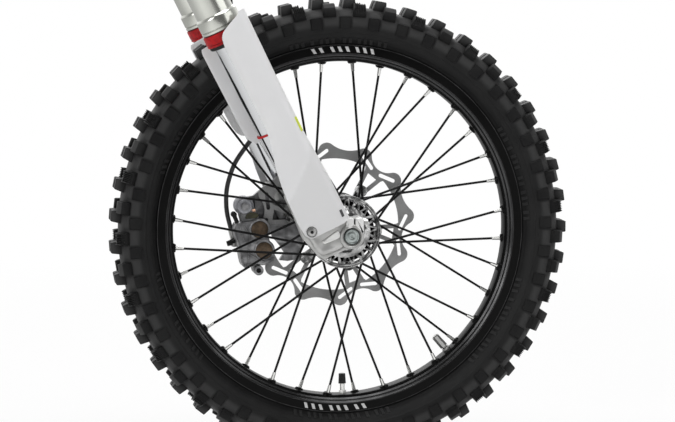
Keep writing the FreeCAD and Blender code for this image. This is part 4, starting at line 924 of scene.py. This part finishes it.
for name, side in bothSides:
    node = "foot_" + name.lower()
    addPiece("foot" + name, footParts(side), "cast_aluminium", [node])
    across = (side * (leg["side"] - foot["lug"]), side * (leg["side"] + foot["lug"]))
    ears = [slabPart(foot[key], *across, 2.5, 4, 4) for key in ("earBack", "earFront")]
    # the ears get the lighter cast look: painted highlight
    addPiece("footEars" + name, ears, "cast_aluminium", [node], "brightCast")
addPiece("axleEnd", [turnedPart(foot["axleEnd"], (0, foot["axleFace"], 0), (0, -1, 0))], "axle_steel")
print("feet made")

# sections are (side, radius)
hub = dict(
    columns=144,
    cone=((-45.2, 46.4), (-44.2, 46.8), (-34, 40), (-18, 24), (-18, 21), (-35, 37), (-45.2, 43)),
    bowl=((-54.9, 39), (-55.4, 37.8), (-56.4, 33.6), (-58.6, 30), (-62.6, 27.4), (-65.9, 26.4), (-65.9, 24),
        (-54.9, 24)),
    ridges=(((-55.4, 52.9), (-56.5, 53.1), (-56.8, 53.8), (-56.5, 54.5), (-55.4, 54.8)),
        ((-55.4, 49.9), (-56.5, 50.1), (-56.7, 50.8), (-56.4, 51.4), (-55.4, 51.6)),
        ((35.4, 50.3), (36.1, 50.5), (36.3, 51.1), (36.1, 51.8), (35.4, 52)),
        ((35.4, 47.2), (36, 47.4), (36.1, 48.2), (35.9, 48.8), (35.4, 49))),
)
for name, sections, sharpAngle in (("hubCone", [hub["cone"]], 32), ("hubBowl", [hub["bowl"]], 32),
                                   ("hubEdges", hub["ridges"], 50)):
    rings = [revolve(section, hub["columns"]) for section in sections]
    addPiece(name, rings, "hub_silver", sharpAngle=sharpAngle, body="wheel")
print("hub dressed")

# outlines and spots are (forward, up) from the axle; profiles are (radius, side distance)
caliper = dict(
    outline=((-137.1, 69.5), (-133.1, 71.7), (-117.8, 67), (-94, 60), (-89, 54), (-96.2, 37.8),
        (-99.8, 26.9), (-100.4, 14.3), (-105.3, 2.6), (-105, -4.7), (-123.6, -5), (-129, -2), (-132, 2),
        (-150.6, 2.6), (-154.3, 9.6), (-152, 21.3), (-145.7, 38.1), (-144.5, 50.4), (-142.2, 60.7)),
    bridge=((-136.6, 69), (-133.1, 71.2), (-118.5, 66.8), (-116.5, 63.6), (-122.5, 50.6), (-127.5, 37),
        (-131.2, 20), (-132.8, 2.8), (-150, 3.2), (-153.8, 9.8), (-151.6, 21.3), (-145.3, 38.1),
        (-144.1, 50.4), (-141.8, 60.7)),
    back=((-112, 60), (-134, 44), (-138, 16), (-120, 0), (-108, 5), (-101, 50)),
    neck=((-126, 64), (-98, 57), (-98.5, 84), (-122, 84)),
    fill=((-91, 89), (-80, 84), (-75, 66), (-84, 46), (-97, 46), (-106, 62)),
    # outline, side distances of both faces, bevel, corner radius, steps of the bevel
    slabs=(("outline", 35.2, 45.4, 2.2, 5, 4), ("outline", 70, 62.6, 2.2, 5, 4),
        ("bridge", 40, 68, 2.2, 3, 3), ("back", 66, 78, 3.5, 6, 4), ("neck", 39, 45.4, 2, 5, 3),
        ("neck", 67, 62.6, 2, 5, 3)),
    fillSides=(58, 66),
    spots=((-105.7, 47.7), (-113.8, 15.9)),
    ring=((13.2, 34.2), (14.4, 34.2), (15.6, 35), (16.6, 36), (16.6, 44), (13.2, 44)),
    bulge=((15, 62.6), (15, 80.5), (14.2, 82.8), (12.4, 84)),
    plug=((0.4, 35), (1.8, 35), (2.6, 34.7), (12, 34.7), (13, 35.3), (13, 37.4)),
    lugSpot=(-134.9, -7.7), lug=((3.8, 35.2), (6.9, 35.2), (7.6, 36), (7.6, 69.2), (6.9, 70), (3.8, 70)),
    # the low lug's bore filled dark: painted shade
    lugHole=((0.4, 38), (3.9, 38), (3.9, 60), (0.4, 60)),
    pinSpot=(-110.1, 89.2),
    boot=((0.4, 34.6), (4.4, 34.6), (5.2, 35.3), (5.2, 36.6), (9.8, 36.6), (11, 37.6), (11, 39),
        (10.2, 39.8), (10.6, 40.8), (13.6, 41.4), (14.6, 42.6), (14.6, 45.2), (13.4, 46.4), (14.6, 47.6),
        (14.6, 50.8), (13.4, 52), (14.6, 53.2), (14.6, 63.8)),
    ribs=((-140.3, 66.5, -142.8, 50), (-142.8, 50, -144, 38.5), (-144, 38.5, -150, 21.5),
        (-150, 21.5, -151.8, 9.8), (-124.5, 63, -122.6, 47), (-122.6, 47, -134.3, 28),
        (-134.3, 28, -146.5, 6), (-136.8, 21.5, -122.5, 0), (-130.5, 66, -134, 46),
        (-128, 8.5, -112, -1.5)),
    ribWidth=2.2, ribSides=(34.1, 35.6),
    spring=((-112.8, 77.3), (-106, 76.9), (-98.6, 72.5), (-96.6, 67), (-101.6, 65.1), (-112.8, 69.6),
        (-118, 72)),
    springSides=(37.4, 39.4),
    rivetSpot=(-100.2, 77.4), rivet=((0.4, 36.4), (1.4, 36.2), (2.4, 36.9), (2.4, 39.6)),
)


def ribPart(line):
    # a narrow round-edged bar between two points
    a, b = np.reshape(line, (2, 2))
    way = (b - a) / np.linalg.norm(b - a) * caliper["ribWidth"] / 2
    aside = np.array([-way[1], way[0]])
    outline = [a - way - aside, b + way - aside, b + way + aside, a - way + aside]
    return slabPart(outline, *caliper["ribSides"], 0.6, 0.9, 2)


def caliperParts():
    # both halves, their bridge, back and necks, a ring and a bulge about each plug, the low lug and the ribs
    c = caliper
    parts = [slabPart(c[key], *sizes) for key, *sizes in c["slabs"]]
    for spot in c["spots"]:
        parts += [crossPart(c["ring"], spot, 48, True), crossPart(c["bulge"], spot)]
    parts += [crossPart(c["lug"], c["lugSpot"], 32, True), slabPart(c["fill"], *c["fillSides"], 2, 4, 3)]
    return parts + [ribPart(line) for line in c["ribs"]]


addPiece("caliperBody", caliperParts(), "caliper_grey", ["caliper_body"])
plugs = [crossPart(caliper["plug"], spot, 40) for spot in caliper["spots"]]
addPiece("caliperPlugs", plugs, "plug_bronze", ["caliper_plugs"])
boot = crossPart(caliper["boot"], caliper["pinSpot"])
addPiece("caliperBoot", [boot], "caliper_grey", look="bootGrey")
addPiece("padSpring", [slabPart(caliper["spring"], *caliper["springSides"], 0.6, 2)], "pad_black")
rivet = crossPart(caliper["rivet"], caliper["rivetSpot"], 24)
addPiece("springRivet", [rivet], "plug_bronze", look="copper")
# black filling in the low lug's bore: painted shade
addPiece("lugHole", [crossPart(caliper["lugHole"], caliper["lugSpot"], 24)], "black_rubber")
print("caliper made")
